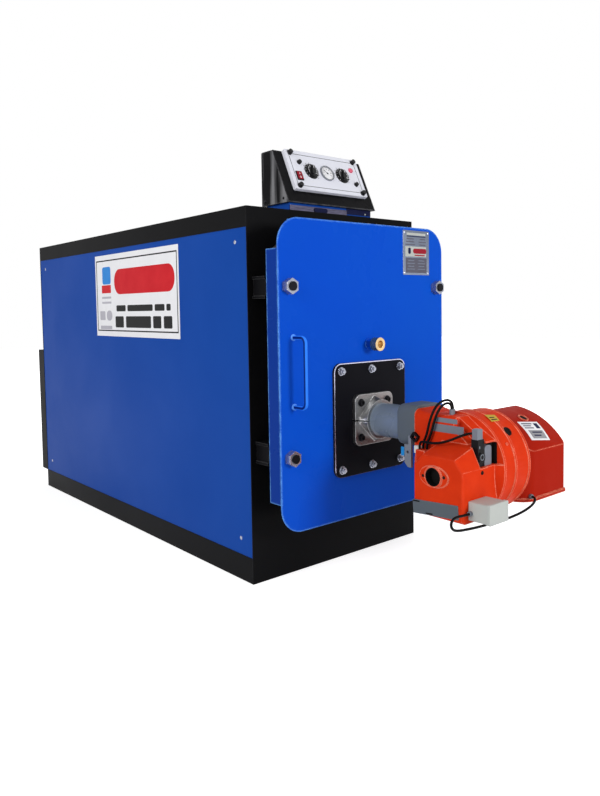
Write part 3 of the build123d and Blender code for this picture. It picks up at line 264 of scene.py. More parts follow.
def group_node(tree, name, sockets):
    """Place a shared node group in a material, building it at its first use."""
    if name not in GROUPS:
        GROUPS[name] = GROUP_MAKERS[name]()
    return put(tree, "ShaderNodeGroup", sockets, node_tree=GROUPS[name])


# ---------------- finishes

# Materials by the name of their finish
FINISHES = {}

# How strongly the grain of a surface shows, and how far edges are worn or carry a painted highlight, in radii
# of their rounding
RELIEF_STRENGTH = 0.35
WEAR_AND_HIGHLIGHT_REACH = 1.6

# Upright streaks of painted reflection on a folded side: how much the pattern is drawn together along each
# direction
SIDE_REFLECTION_STRETCH = (9.0, 30.0, 2.5)


def opaque(colour):
    return (*colour, 1.0)


def dress(name, skin, skin_sockets, rounding, bump, metallic=0.0, level=0.5, coat=0.0, coat_roughness=0.1,
          sheen=0.0, wear=0.0, wear_colour=(0.5, 0.5, 0.5), wear_full=0.86, returns=None, polish=0.0):
    """Finish round the outputs of a skin, with rounded edges, fine relief and, if asked, worn edges with a
    painted highlight, painted shade on the folded returns at the sides and upright streaks of painted
    reflection there."""
    material = bpy.data.materials.new(name)
    material.use_nodes = True
    tree = material.node_tree
    film = group_node(tree, skin, skin_sockets).outputs
    colour = film["Colour"]
    if returns or polish:
        place = put(tree, "ShaderNodeTexCoord").outputs
        sides = put(tree, "ShaderNodeSeparateXYZ", {"Vector": place["Normal"]}).outputs["X"]
        aside = spread(tree, combine(tree, sides, sides), 0.5, 0.8)
    # Painted shade: faces that face the sides are blended to a darker colour
    if returns:
        colour = blend_colours(tree, aside, colour, opaque(returns))
    # Painted reflection: upright streaks on the faces that face the sides, blended to the edge colour; the
    # same streaks also set the coat's weight
    if polish:
        streaks = noise(tree, stretched(tree, place["Object"], SIDE_REFLECTION_STRETCH), 1.0, 2.0)
        coat = combine(tree, spread(tree, streaks, 0.44, 0.62, 0.0, polish), aside)
        colour = blend_colours(tree, coat, colour, opaque(wear_colour))
    # Edges blended to their edge colour: worn paint or bare metal, and in several finishes a painted
    # highlight
    if wear:
        mask = group_node(tree, "edge_wear", {
            "Radius": rounding * WEAR_AND_HIGHLIGHT_REACH, "Amount": wear, "Full At": wear_full}).outputs["Mask"]
        colour = blend_colours(tree, mask, colour, opaque(wear_colour))
    edges = put(tree, "ShaderNodeBevel", {"Radius": rounding}, samples=4)
    relief = put(tree, "ShaderNodeBump", {
        "Strength": RELIEF_STRENGTH, "Distance": bump, "Height": film["Height"],
        "Normal": edges.outputs["Normal"]})
    fill(tree, tree.nodes["Principled BSDF"], {
        "Base Color": colour, "Roughness": film["Roughness"], "Normal": relief.outputs["Normal"],
        "Metallic": metallic, "Specular IOR Level": level, "Coat Weight": coat,
        "Coat Roughness": coat_roughness, "Sheen Weight": sheen})
    FINISHES[name] = material


def film_sockets(colour, shade, amount, roughness, roughness_change, patch_scale, grain_scale):
    return {"Colour": opaque(colour), "Shade": opaque(shade), "Amount": amount, "Roughness": roughness,
            "Roughness Change": roughness_change, "Patch Scale": patch_scale, "Grain Scale": grain_scale}


def enamel(name, colour, shade, roughness, **more):
    """Sprayed and baked paint with a slight orange peel."""
    dress(name, "surface_film", film_sockets(colour, shade, 0.5, roughness, 0.12, 2.4, 330.0),
          **{"rounding": 0.0015, "bump": 0.00008, "level": 0.03, **more})


def moulding(name, colour, shade, roughness, **more):
    """Moulded plastic with a fine grain from the mould."""
    dress(name, "surface_film", film_sockets(colour, shade, 0.6, roughness, 0.16, 9.0, 900.0),
          **{"rounding": 0.0008, "bump": 0.00006, "level": 0.06, **more})


def ink(name, colour, shade, roughness=0.5):
    """Thin print, whose edges stay sharp."""
    moulding(name, colour, shade, roughness, rounding=0.0001)


def bare_metal(name, bright, dull, roughness, stretch, **more):
    """Metal with the lay of its making."""
    dress(name, "metal_lay",
          {"Stretch": stretch, "Bright": opaque(bright), "Dull": opaque(dull), "Roughness": roughness,
           "Roughness Change": 0.2},
          **{"rounding": 0.0006, "bump": 0.00012, "metallic": 1.0, **more})


def build_finishes(paint):
    """Every finish by the name of the record's slot, and a few more that only small trim and prints use."""
    enamel("casing_black", paint.casing_black, (0.008, 0.008, 0.009), 0.42,
           wear=0.25, wear_colour=(0.05, 0.05, 0.055))
    # Painted shade: the door's paint made darker for the side panels, which get less light
    enamel("casing_blue", paint.casing_blue, (0.005, 0.050, 0.29), 0.38,
           wear=0.35, wear_colour=(0.08, 0.17, 0.62))
    # Its edge colour is a painted highlight, and its returns at the sides get painted shade
    enamel("door_blue", paint.door_blue, (0.004, 0.090, 0.55), 0.30, rounding=0.0045,
           wear=1.0, wear_colour=(0.19, 0.50, 1.0), returns=(0.003, 0.034, 0.26))
    # Painted light: a brighter copy of the door's blue, with painted shade on its sides and a painted
    # highlight on its edges
    enamel("handle_blue_painted_light", (0.030, 0.22, 0.95), (0.012, 0.15, 0.80), 0.26, rounding=0.0025,
           wear=0.7, wear_colour=(0.20, 0.55, 1.0), returns=(0.001, 0.014, 0.16))
    # Painted highlight: lighter blue for the weld rings at the handle's feet
    enamel("weld_blue_highlight", (0.12, 0.36, 0.95), (0.06, 0.24, 0.80), 0.25, bump=0.0004)
    enamel("bracket_black", (0.004, 0.004, 0.005), (0.009, 0.009, 0.010), 0.5,
           wear=0.8, wear_colour=(0.10, 0.10, 0.105))
    enamel("fascia_white", (0.76, 0.77, 0.84), (0.68, 0.69, 0.77), 0.40, rounding=0.001,
           wear=0.4, wear_colour=(0.30, 0.30, 0.36))
    # Its edges get a painted highlight
    enamel("plate_black", (0.0045, 0.0045, 0.007), (0.009, 0.009, 0.012), 0.42, rounding=0.002,
           wear=0.6, wear_colour=(0.30, 0.29, 0.38))
    enamel("tube_grey", (0.165, 0.205, 0.255), (0.13, 0.165, 0.21), 0.30, level=0.4, coat=0.2)
    enamel("collar_grey", paint.burner_grey, (0.085, 0.10, 0.112), 0.40, rounding=0.003,
           wear=0.5, wear_colour=(0.22, 0.25, 0.28))
    enamel("navy", (0.010, 0.012, 0.045), (0.02, 0.025, 0.09), 0.3)

    bare_metal("body_steel", (0.23, 0.21, 0.20), (0.12, 0.11, 0.11), 0.55, (90.0, 90.0, 90.0), metallic=0.7)
    bare_metal("zinc_steel", (0.42, 0.44, 0.52), (0.17, 0.18, 0.23), 0.28, (160.0, 160.0, 160.0),
               metallic=0.8, wear=0.45, wear_colour=(0.85, 0.87, 0.92))
    bare_metal("stud_black", (0.014, 0.014, 0.018), (0.006, 0.006, 0.008), 0.42, (700.0, 60.0, 700.0))
    bare_metal("sight_brass", (0.78, 0.55, 0.27), (0.48, 0.33, 0.17), 0.30, (60.0, 900.0, 60.0),
               wear=0.5, wear_colour=(0.95, 0.86, 0.66))
    # Bright colour of the burner plate's rim, a painted highlight
    bare_metal("plate_edge_highlight", (0.62, 0.61, 0.76), (0.30, 0.30, 0.40), 0.3, (120.0, 120.0, 120.0))
    bare_metal("cast_aluminium", (0.40, 0.40, 0.40), (0.15, 0.15, 0.16), 0.36, (260.0, 260.0, 260.0),
               bump=0.0006, rounding=0.002, wear=0.6, wear_colour=(0.90, 0.90, 0.90))
    bare_metal("bare_strip", (0.16, 0.15, 0.23), (0.012, 0.012, 0.025), 0.22, (22.0, 300.0, 300.0))
    bare_metal("gauge_rim", (0.30, 0.31, 0.34), (0.15, 0.16, 0.18), 0.25, (300.0, 300.0, 300.0))
    bare_metal("plate_silver", (0.21, 0.24, 0.31), (0.12, 0.14, 0.19), 0.34, (30.0, 400.0, 400.0))

    # Painted highlights along its edges and upright streaks of painted reflection on its sides
    moulding("control_black", (0.0028, 0.0028, 0.0034), (0.009, 0.009, 0.010), 0.25, rounding=0.005,
             level=0.04, wear=0.9, wear_colour=(0.15, 0.15, 0.16), polish=1.0, coat_roughness=0.35)
    moulding("lining_board", (0.62, 0.58, 0.50), (0.45, 0.42, 0.36), 0.95, bump=0.0012, level=0.1)
    moulding("gasket_fibre", (0.66, 0.64, 0.58), (0.42, 0.40, 0.36), 0.95, bump=0.0012, level=0.1, sheen=0.2)
    # Its edges and creases get a painted highlight
    moulding("burner_orange", paint.burner_orange, (0.52, 0.022, 0.004), 0.52, rounding=0.0026, level=0.03,
             wear=0.78, wear_colour=(1.0, 0.38, 0.25), wear_full=0.955)
    # Painted shade: a darker copy of the burner's orange for the front-facing silencer, with a painted
    # highlight on its edges and creases
    moulding("silencer_red", paint.silencer_red, (0.33, 0.010, 0.003), 0.50, rounding=0.003, level=0.02,
             wear=1.0, wear_colour=(1.0, 0.34, 0.22), wear_full=0.95)
    moulding("box_grey", paint.box_grey, (0.44, 0.46, 0.45), 0.5)
    moulding("servo_grey", (0.20, 0.22, 0.26), (0.15, 0.165, 0.19), 0.45)
    moulding("valve_black", (0.004, 0.004, 0.005), (0.009, 0.009, 0.011), 0.3,
             wear=0.5, wear_colour=(0.10, 0.10, 0.11))
    moulding("lead_black", (0.0025, 0.0025, 0.0025), (0.006, 0.006, 0.006), 0.42)
    moulding("knob_black", (0.004, 0.004, 0.005), (0.009, 0.009, 0.010), 0.36, level=0.2)
    moulding("switch_red", (0.36, 0.006, 0.022), (0.22, 0.004, 0.012), 0.25, coat=0.2)
    moulding("lamp_pink", (0.72, 0.13, 0.20), (0.55, 0.06, 0.11), 0.2, coat=0.3)
    moulding("label_white", (0.82, 0.82, 0.84), (0.76, 0.76, 0.79), 0.35, rounding=0.0003)
    moulding("label_olive", (0.55, 0.38, 0.04), (0.40, 0.26, 0.03), 0.45)
    moulding("connector_white", (0.72, 0.72, 0.66), (0.55, 0.55, 0.50), 0.4)
    moulding("sleeve_blue", (0.02, 0.25, 0.60), (0.02, 0.20, 0.5), 0.4)
    # Painted shade: black for the insides of holes, slots and recesses
    moulding("hole_shade_black", (0.004, 0.004, 0.004), (0.008, 0.006, 0.005), 0.8, level=0.1)

    ink("ink_black", (0.012, 0.012, 0.013), (0.03, 0.03, 0.03))
    ink("ink_grey", (0.30, 0.30, 0.32), (0.22, 0.22, 0.24))
    ink("ink_pale", (0.46, 0.45, 0.50), (0.38, 0.37, 0.42))
    ink("ink_red", (0.60, 0.012, 0.02), (0.50, 0.01, 0.018), 0.4)
    ink("badge_blue", (0.03, 0.24, 0.66), (0.02, 0.19, 0.56), 0.4)
    ink("plate_field", (0.115, 0.112, 0.145), (0.085, 0.083, 0.11), 0.4)


# ---------------- shapes

def placed(origin, out, up=UP):
    """Matrix of a place on the object: local z points out of the surface and local y points up."""
    out = Vector(out).normalized()
    across = Vector(up).cross(out).normalized()
    turn = Matrix((across, out.cross(across), out)).transposed().to_4x4()
    return Matrix.Translation(Vector(origin)) @ turn


def turned_by(degrees):
    return Matrix.Rotation(math.radians(degrees), 4, "Z")


def round_off(bm, items, radius, segments, affect="EDGES", clamp=False):
    """Round corners or edges off."""
    bmesh.ops.bevel(bm, geom=items, offset=radius, segments=segments, profile=0.5, affect=affect,
                    clamp_overlap=clamp, material=-1)


def flat_sheet(width, height, corner, steps):
    """Flat face round the origin, with round corners."""
    bm = bmesh.new()
    bmesh.ops.create_grid(bm, x_segments=1, y_segments=1, size=0.5)
    bmesh.ops.scale(bm, vec=(width, height, 1), verts=bm.verts)
    if corner:
        round_off(bm, bm.verts[:], corner, steps, "VERTICES")
    return bm


def raise_faces(bm, depth):
    """Give the flat faces of a shape this thickness, upwards."""
    raised = bmesh.ops.extrude_face_region(bm, geom=bm.faces[:], use_keep_orig=True)
    tops = [item for item in raised["geom"] if isinstance(item, bmesh.types.BMVert)]
    bmesh.ops.translate(bm, vec=(0, 0, depth), verts=tops)
    bmesh.ops.recalc_face_normals(bm, faces=bm.faces[:])


def ease_rim(bm, height, edge):
    """Round the edges at this height that have a wall below them."""
    rim = [item for item in bm.edges
           if all(abs(v.co.z - height) < 1e-6 for v in item.verts)
           and any(abs(f.normal.z) < 0.5 for f in item.link_faces)]
    round_off(bm, rim, edge, 3)


def plate(width, height, depth, corner=0.0, edge=0.0, steps=6):
    """Plate that stands on the plane z = 0 round the origin, with round corners and an eased front edge."""
    bm = flat_sheet(width, height, corner, steps)
    raise_faces(bm, depth)
    if edge:
        ease_rim(bm, depth, edge)
    return bm


def frame_strip(width, height, band, depth, corner=0.0):
    """Flat frame: a plate whose middle is cut out, leaving a band along its outline."""
    bm = flat_sheet(width, height, corner, 5)
    middle = bm.faces[:]
    bmesh.ops.inset_region(bm, faces=middle, thickness=band, use_even_offset=True, use_boundary=True)
    bmesh.ops.delete(bm, geom=middle, context="FACES")
    raise_faces(bm, depth)
    return bm


def turned(profile, sides=48):
    """Piece turned about local z from a profile of (radius, height) points, closed to a ring where it starts
    off the axis."""
    if profile[0][0]:
        profile = [*profile, profile[0]]
    bm = bmesh.new()
    points = [bm.verts.new((radius, 0, height)) for radius, height in profile]
    lines = [bm.edges.new(pair) for pair in zip(points, points[1:])]
    bmesh.ops.spin(bm, geom=points + lines, cent=(0, 0, 0), axis=(0, 0, 1), angle=math.tau,
                   steps=sides, use_merge=True)
    bmesh.ops.remove_doubles(bm, verts=bm.verts[:], dist=1e-6)
    bmesh.ops.recalc_face_normals(bm, faces=bm.faces[:])
    return bm


def disc(radius, depth, edge=0.0, sides=40):
    """Round plate that stands on the plane z = 0, with an eased front edge."""
    rim = [(radius, depth)]
    if edge:
        rim = [(radius - edge + edge * math.sin(a), depth - edge + edge * math.cos(a))
               for a in (math.pi / 2, math.pi / 4, 0)]
    return turned([(0, 0), (radius, 0), *rim, (0, depth)], sides)


def flat_ring(outer, inner, depth):
    """Flat ring that stands on the plane z = 0."""
    return turned([(inner, 0), (outer, 0), (outer, depth), (inner, depth)])


def screw_head(radius, depth):
    """Domed head with a dimple in its middle."""
    return turned([(0, 0), (radius, 0), (radius, depth * 0.25), (radius * 0.86, depth * 0.62),
                   (radius * 0.55, depth * 0.9), (radius * 0.22, depth), (radius * 0.18, depth * 0.55),
                   (0, depth * 0.5)], 20)


def hexagon(across, depth, edge=0.0008):
    """Hexagonal head of this width across its flats."""
    bm = bmesh.new()
    radius = across / 2 / math.cos(math.pi / 6)
    bmesh.ops.create_cone(bm, cap_ends=True, segments=6, radius1=radius, radius2=radius, depth=depth)
    bmesh.ops.translate(bm, vec=(0, 0, depth / 2), verts=bm.verts)
    ease_rim(bm, depth, edge)
    return bm


def written(text, size):
    """Flat mesh of a short text, centred on the origin."""
    words = bpy.data.curves.new("words", "FONT")
    words.body = text
    words.size = size
    words.align_x = "CENTER"
    words.align_y = "CENTER"
    words.extrude = 0.00004
    holder = bpy.data.objects.new("words", words)
    bpy.context.scene.collection.objects.link(holder)
    flat = bpy.data.meshes.new_from_object(holder.evaluated_get(bpy.context.evaluated_depsgraph_get()))
    bpy.data.objects.remove(holder)
    bpy.data.curves.remove(words)
    bm = bmesh.new()
    bm.from_mesh(flat)
    bpy.data.meshes.remove(flat)
    return bm


def printed(face, lift, depth, rows):
    """Flat plates on a face, from rows of width, height, corner radius, and middle across and up."""
    return [(plate(width, height, depth, corner), face @ Matrix.Translation((across, rise, lift)))
            for width, height, corner, across, rise in rows]


def gather(shapes):
    """One bmesh of several shapes, each put in its place."""
    whole = bmesh.new()
    for shape, place in shapes:
        bmesh.ops.transform(shape, matrix=place, verts=shape.verts)
        scrap = bpy.data.meshes.new("scrap")
        shape.to_mesh(scrap)
        shape.free()
        whole.from_mesh(scrap)
        bpy.data.meshes.remove(scrap)
    return whole


def finish_piece(name, shapes, body, slot, finish=None, smooth=35):
    """Make shapes with their places, or one shape that is in place, a piece of the object: outward faces, a
    finish, which is the slot's own unless another is named, and the body it rides on."""
    bm = gather(shapes) if isinstance(shapes, list) else shapes
    bmesh.ops.recalc_face_normals(bm, faces=bm.faces[:])
    mesh = bpy.data.meshes.new(name)
    bm.to_mesh(mesh)
    bm.free()
    mesh.materials.append(FINISHES[finish or slot])
    mesh.shade_smooth()
    mesh.set_sharp_from_angle(angle=math.radians(smooth))
    piece = bpy.data.objects.new(name, mesh)
    bpy.context.scene.collection.objects.link(piece)
    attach(piece, body)
    return piece


def eased_copy(node, radius, sharp):
    """Shape of a CAD node with its triangles merged, its flats joined and its edges sharper than this angle
    rounded."""
    bm = bmesh.new()
    bm.from_mesh(frame["nodes"][node].data)
    bmesh.ops.remove_doubles(bm, verts=bm.verts[:], dist=1e-5)
    bmesh.ops.dissolve_limit(bm, angle_limit=math.radians(0.8), verts=bm.verts[:], edges=bm.edges[:])
    edges = [item for item in bm.edges
             if len(item.link_faces) == 2 and item.calc_face_angle(0) > math.radians(sharp)]
    round_off(bm, edges, radius, 3, clamp=True)
    return bm


# ---------------- view, finishes and leads

class BOILER_OT_view(bpy.types.Operator):
    """Camera that looks at the boiler from its front left corner"""
    bl_idname = "boiler.view"
    bl_label = "View"

    def execute(self, context):
        camera_data = bpy.data.cameras.new("view")
        camera_data.lens = VIEW_LENS
        camera_data.sensor_width = 36.0
        camera_data.shift_y = VIEW_SHIFT
        camera_data.clip_start = 0.05
        camera_data.clip_end = 60.0
        camera = bpy.data.objects.new("view", camera_data)
        context.scene.collection.objects.link(camera)
        yaw, pitch, roll = (math.radians(a) for a in VIEW_TURNS)
        look = Matrix.Rotation(yaw, 4, "Z") @ Matrix.Rotation(pitch, 4, "X") @ Matrix.Rotation(roll, 4, "Y")
        level = Matrix.Rotation(math.radians(90), 4, "X")
        camera.matrix_world = Matrix.Translation(VIEW_PLACE) @ look @ level
        context.scene.camera = camera
        context.scene.view_settings.view_transform = "Standard"
        return {"FINISHED"}


class BOILER_OT_finishes(bpy.types.Operator):
    """Paints, plastics and metals of the boiler's own parts"""
    bl_idname = "boiler.finishes"
    bl_label = "Finishes"

    def execute(self, context):
        build_finishes(context.scene.boiler_paint)
        for row in frame["record"]["subparts"]:
            node = frame["nodes"][row["node"]]
            finish = FINISHES[row["material_slot"]]
            if node.material_slots:
                for slot in node.material_slots:
                    slot.material = finish
            else:
                node.data.materials.append(finish)
        return {"FINISHED"}


# Each lead's length and its route from the fan's axis, in metres
LEADS = {
    "lead_outer": (0.2133, [
        (-0.075, 0.068, 0.045), (-0.075, 0.068, 0.060), (-0.078, 0.052, 0.088), (-0.082, 0.040, 0.122),
        (-0.078, 0.031, 0.152), (-0.064, 0.025, 0.174), (-0.045, 0.019, 0.184), (-0.025, 0.014, 0.184),
        (-0.012, 0.012, 0.171), (-0.012, 0.012, 0.158)]),
    "lead_inner": (0.1834, [
        (-0.075, 0.054, 0.045), (-0.075, 0.054, 0.060), (-0.075, 0.040, 0.088), (-0.077, 0.029, 0.118),
        (-0.074, 0.022, 0.144), (-0.064, 0.017, 0.164), (-0.051, 0.012, 0.175), (-0.037, 0.008, 0.177),
        (-0.026, 0.006, 0.170), (-0.026, 0.006, 0.158)]),
    "lead_servo": (0.2064, [
        (-0.087, 0.071, 0.045), (-0.087, 0.071, 0.057), (-0.092, 0.061, 0.068), (-0.099, 0.044, 0.071),
        (-0.103, 0.018, 0.071), (-0.103, -0.012, 0.075), (-0.098, -0.042, 0.085), (-0.088, -0.064, 0.097),
        (-0.075, -0.079, 0.104), (-0.0635, -0.088, 0.107), (-0.0635, -0.099, 0.107)]),
    "lead_junction": (0.4757, [
        (-0.136, -0.134, -0.088), (-0.154, -0.134, -0.088), (-0.178, -0.133, -0.086),
        (-0.196, -0.133, -0.087), (-0.206, -0.132, -0.095), (-0.207, -0.132, -0.107),
        (-0.198, -0.132, -0.117), (-0.180, -0.132, -0.123), (-0.148, -0.131, -0.127),
        (-0.104, -0.131, -0.131), (-0.050, -0.133, -0.133), (0.000, -0.139, -0.132), (0.040, -0.148, -0.127),
        (0.080, -0.156, -0.119), (0.116, -0.158, -0.110), (0.143, -0.152, -0.103),
        (0.15969, -0.14054, -0.099), (0.16345, -0.1302, -0.099)]),
}


class BOILER_OT_leads(bpy.types.Operator):
    """Four black leads of the burner"""
    bl_idname = "boiler.leads"
    bl_label = "Leads"

    def execute(self, context):
        for name, (length, route) in LEADS.items():
            curve = bpy.data.curves.new(name + "_line", "CURVE")
            curve.dimensions = "3D"
            curve.bevel_depth = 0.0035
            curve.bevel_resolution = 4
            curve.resolution_u = 10
            curve.use_fill_caps = True
            line = curve.splines.new("NURBS")
            line.points.add(len(route) - 1)
            for point, offset in zip(line.points, route):
                point.co = (*(FAN + Vector(offset)), 1.0)
            line.order_u = 3
            line.use_endpoint_u = True
            curve.materials.append(FINISHES["lead_black"])
            lead = bpy.data.objects.new(name + "_cord", curve)
            context.scene.collection.objects.link(lead)
            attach(lead, "door")
            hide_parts(name)
        return {"FINISHED"}


# ---------------- casing

class BOILER_OT_side_label(bpy.types.Operator):
    """White label on the left panel, with a thin frame, a badge and plain bars"""
    bl_idname = "boiler.side_label"
    bl_label = "Side label"

    def execute(self, context):
        sizes = context.scene.boiler_print
        width, height = sizes.label_width, sizes.label_height
        sheet, print_depth = 0.0003, 0.0001
        panel_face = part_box("side_panel_left")[0].x
        label = placed((panel_face, sizes.label_middle, sizes.label_rise), LEFT)
        front = label @ Matrix.Translation((0, 0, sheet))

        def bars(*rows):
            return printed(front, 0, print_depth, rows)

        finish_piece("side_label", [(plate(width, height, sheet, 0.002), label)],
                     "boiler", "fascia_white", "label_white")
        frame_band = 0.005
        words = [(frame_strip(width - 0.020, height - 0.040, frame_band, print_depth), front)]
        words += bars(
            (0.080, 0.024, 0.006, -0.110, -0.052), (0.200, 0.024, 0.006, 0.045, -0.052),
            (0.072, 0.024, 0.006, 0.196, -0.052), (0.030, 0.024, 0.006, 0.260, -0.052),
            (0.072, 0.044, 0.006, -0.125, -0.105), (0.200, 0.044, 0.006, 0.030, -0.105),
            (0.060, 0.044, 0.006, 0.176, -0.105), (0.060, 0.044, 0.006, 0.254, -0.105))
        finish_piece("side_label_frame", words, "boiler", "casing_black", "ink_black")
        band = plate(0.470, 0.098, print_depth, 0.046, steps=10)
        finish_piece("side_label_band", [
            (band, front @ Matrix.Translation((0.072, 0.052, 0))),
            *bars((0.084, 0.032, 0.004, -0.236, 0.026)),
        ], "boiler", "switch_red", "ink_red")
        finish_piece("side_label_badge", bars((0.076, 0.070, 0.012, -0.232, 0.080)),
                     "boiler", "door_blue", "badge_blue")
        finish_piece("side_label_marks", bars(
            (0.084, 0.008, 0.002, -0.236, -0.008), (0.084, 0.008, 0.002, -0.236, -0.028),
            (0.048, 0.036, 0.004, -0.276, -0.080), (0.050, 0.040, 0.019, -0.214, -0.080),
            (0.104, 0.014, 0.002, -0.246, -0.128)), "boiler", "box_grey", "ink_pale")
        return {"FINISHED"}


class BOILER_OT_panel_screws(bpy.types.Operator):
    """Round-headed screws near the corners of the side panels and on the rear panel"""
    bl_idname = "boiler.panel_screws"
    bl_label = "Panel screws"

    def execute(self, context):
        radius, side_depth, rear_depth = 0.006, 0.0013, 0.0024
        from_end, from_top, from_foot = 0.060, 0.042, 0.051
        low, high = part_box("side_panel_left")
        right_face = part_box("side_panel_right")[1].x
        finish_piece("panel_screws", [
            (screw_head(radius, side_depth), placed((face, y, z), out))
            for face, out in ((low.x, LEFT), (right_face, RIGHT))
            for y in (low.y + from_end, high.y - from_end)
            for z in (high.z - from_top, low.z + from_foot)
        ], "boiler", "zinc_steel")
        low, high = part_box("rear_panel")
        row_inset, row_margin, edge_inset = 0.022, 0.030, 0.012
        corners = [(x, z) for x in (low.x + row_inset, 0, high.x - row_inset)
                   for z in (low.z + row_margin, high.z - row_margin)]
        edges = [(x, z) for z in (0.35, 0.60, 0.85) for x in (low.x + edge_inset, high.x - edge_inset)]
        finish_piece("rear_screws", [
            (screw_head(radius, rear_depth), placed((x, high.y, z), REAR)) for x, z in corners + edges
        ], "boiler", "zinc_steel")
        return {"FINISHED"}


# ---------------- door

class BOILER_OT_data_plate(bpy.types.Operator):
    """Metal plate riveted to the door, with plain fields and bars"""
    bl_idname = "boiler.data_plate"
    bl_label = "Data plate"

    def execute(self, context):
        sizes = context.scene.boiler_print
        width, height = sizes.plate_width, sizes.plate_height
        sheet, print_depth = 0.0009, 0.00012
        second_layer = sheet + print_depth
        place = placed((0.230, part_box("door_cover")[0].y, 1.022), FRONT)
        line_pitch = 0.0095

        def bars(lift, *rows):
            return printed(place, lift, print_depth, rows)

        finish_piece("data_plate", [(plate(width, height, sheet, 0.003, 0.0003), place)],
                     "door", "zinc_steel", "plate_silver")
        rivet_x, rivet_z = width / 2 - 0.007, height / 2 - 0.007
        finish_piece("data_plate_rivets", [
            (turned([(0, 0), (0.0045, 0), (0.0040, 0.0012), (0.0024, 0.0022), (0, 0.0025)], 18),
             place @ Matrix.Translation((side * rivet_x, end * rivet_z, sheet)))
            for side in (-1, 1) for end in (-1, 1)
        ], "door", "zinc_steel")
        finish_piece("data_plate_fields", bars(
            sheet, (width - 0.036, 0.008, 0.001, 0, 0.062), (width - 0.026, 0.034, 0.001, -0.002, 0.004),
        ), "door", "box_grey")
        finish_piece("data_plate_band", bars(
            second_layer, (0.068, 0.017, 0.008, 0.018, 0.006), (0.052, 0.004, 0.001, 0.018, -0.008),
        ), "door", "switch_red")
        finish_piece("data_plate_badge", [
            *bars(second_layer, (0.013, 0.020, 0.004, -0.034, 0.006)),
            *bars(sheet, (width - 0.036, 0.003, 0.001, 0, 0.0545)),
        ], "door", "stud_black", "navy")
        finish_piece("data_plate_text", bars(second_layer, *(
            (0.030 + 0.008 * (row % 2), 0.003, 0.001, side * 0.026, -0.026 - row * line_pitch)
            for row in range(4) for side in (-1, 1)
        )), "door", "box_grey", "plate_silver")
        lines = bars(sheet, (width - 0.026, 0.050, 0.001, 0, -0.042))
        for row, (left, right) in enumerate(((0.036, 0.026), (0.042, 0.036), (0.048, 0.031))):
            rise = 0.046 - row * line_pitch
            lines += bars(sheet, (left, 0.0035, 0, -0.030, rise), (right, 0.0035, 0, 0.032, rise))
        finish_piece("data_plate_lines", lines, "door", "stud_black", "plate_field")
        return {"FINISHED"}


class BOILER_OT_door_fittings(bpy.types.Operator):
    """Eased handle with painted light and shade, its weld rings in a painted highlight blue, a painted
    highlight rim on the burner plate and screws in the flange's slots
    """
    bl_idname = "boiler.door_fittings"
    bl_label = "Door fittings"

    def execute(self, context):
        handle = finish_piece("door_handle_eased", eased_copy("door_handle", 0.002, 30),
                              "door", "door_blue", "handle_blue_painted_light")
        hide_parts("door_handle")
        low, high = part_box("door_handle")
        foot = (high.x - low.x) / 2
        weld = [(0.0055, 0.0004), (0.0100, 0.0004), (0.0096, 0.0026), (0.0076, 0.0044), (0.0055, 0.0046)]
        finish_piece("handle_welds", [
            (turned(weld, 28), placed((low.x + foot, high.y, z), FRONT))
            for z in (low.z + foot, high.z - foot)
        ], "door", "door_blue", "weld_blue_highlight")

        low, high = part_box("burner_plate")
        middle = (low + high) / 2
        highlight_band, highlight_depth, plate_corner = 0.0030, 0.0004, 0.028
        rim = frame_strip(high.x - low.x, high.z - low.z, highlight_band, highlight_depth, plate_corner)
        # The rim is a painted highlight, kept on the upper left half, where the light falls
        bmesh.ops.bisect_plane(rim, geom=rim.verts[:] + rim.edges[:] + rim.faces[:], plane_co=(0, 0, 0),
                               plane_no=(1, -1, 0), clear_outer=True)
        finish_piece("burner_plate_rim_highlight", [(rim, placed((middle.x, low.y, middle.z), FRONT))],
                     "door", "plate_black", "plate_edge_highlight")

        flange_depth, slot_offset = 0.013, 0.059
        slots = [placed((x, low.y - flange_depth, z), FRONT)
                 for x in (-slot_offset, slot_offset) for z in (0.435, 0.545)]
        socket = [(0, 0.0022), (0.0085, 0.0022), (0.0085, 0.0085), (0.0078, 0.0092), (0.0042, 0.0092),
                  (0.0042, 0.0050), (0, 0.0050)]
        finish_piece("flange_washers", [(disc(0.0125, 0.0022, 0.0005, 28), slot) for slot in slots],
                     "door", "stud_black")
        finish_piece("flange_screws", [(turned(socket, 28), slot) for slot in slots],
                     "door", "stud_black", "valve_black")
        return {"FINISHED"}


class BOILER_OT_tube_welds(bpy.types.Operator):
    """Weld beads round the smoke tubes and the furnace mouth, seen when the door is open"""
    bl_idname = "boiler.tube_welds"
    bl_label = "Tube welds"

    def execute(self, context):
        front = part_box("front_tube_plate")[0].y
        pitch, furnace_rise = 0.084, 0.490
        tube_rows = ((0.745, 6), (0.825, 5), (0.905, 6))
        tube_bead = [(0.0258, 0), (0.0300, 0), (0.0288, 0.0022), (0.0268, 0.0032), (0.0258, 0.0034)]
        furnace_bead = [(0.190, 0), (0.197, 0), (0.1955, 0.0035), (0.1925, 0.0045), (0.190, 0.004)]
        beads = []
        for rise, count in tube_rows:
            for column in range(count):
                x = (column - (count - 1) / 2) * pitch
                beads.append((turned(tube_bead, 32), placed((x, front, rise), FRONT)))
        beads.append((turned(furnace_bead, 96), placed((0, front, furnace_rise), FRONT)))
        finish_piece("tube_welds", beads, "boiler", "body_steel")
        return {"FINISHED"}


# ---------------- control box

def fascia_place(across=0.0, rise=0.0, lift=0.0):
    """Place on the fascia's front, from its middle."""
    return placed(FASCIA_MIDDLE, FASCIA_OUT, FASCIA_UP) @ Matrix.Translation((across, rise, lift))


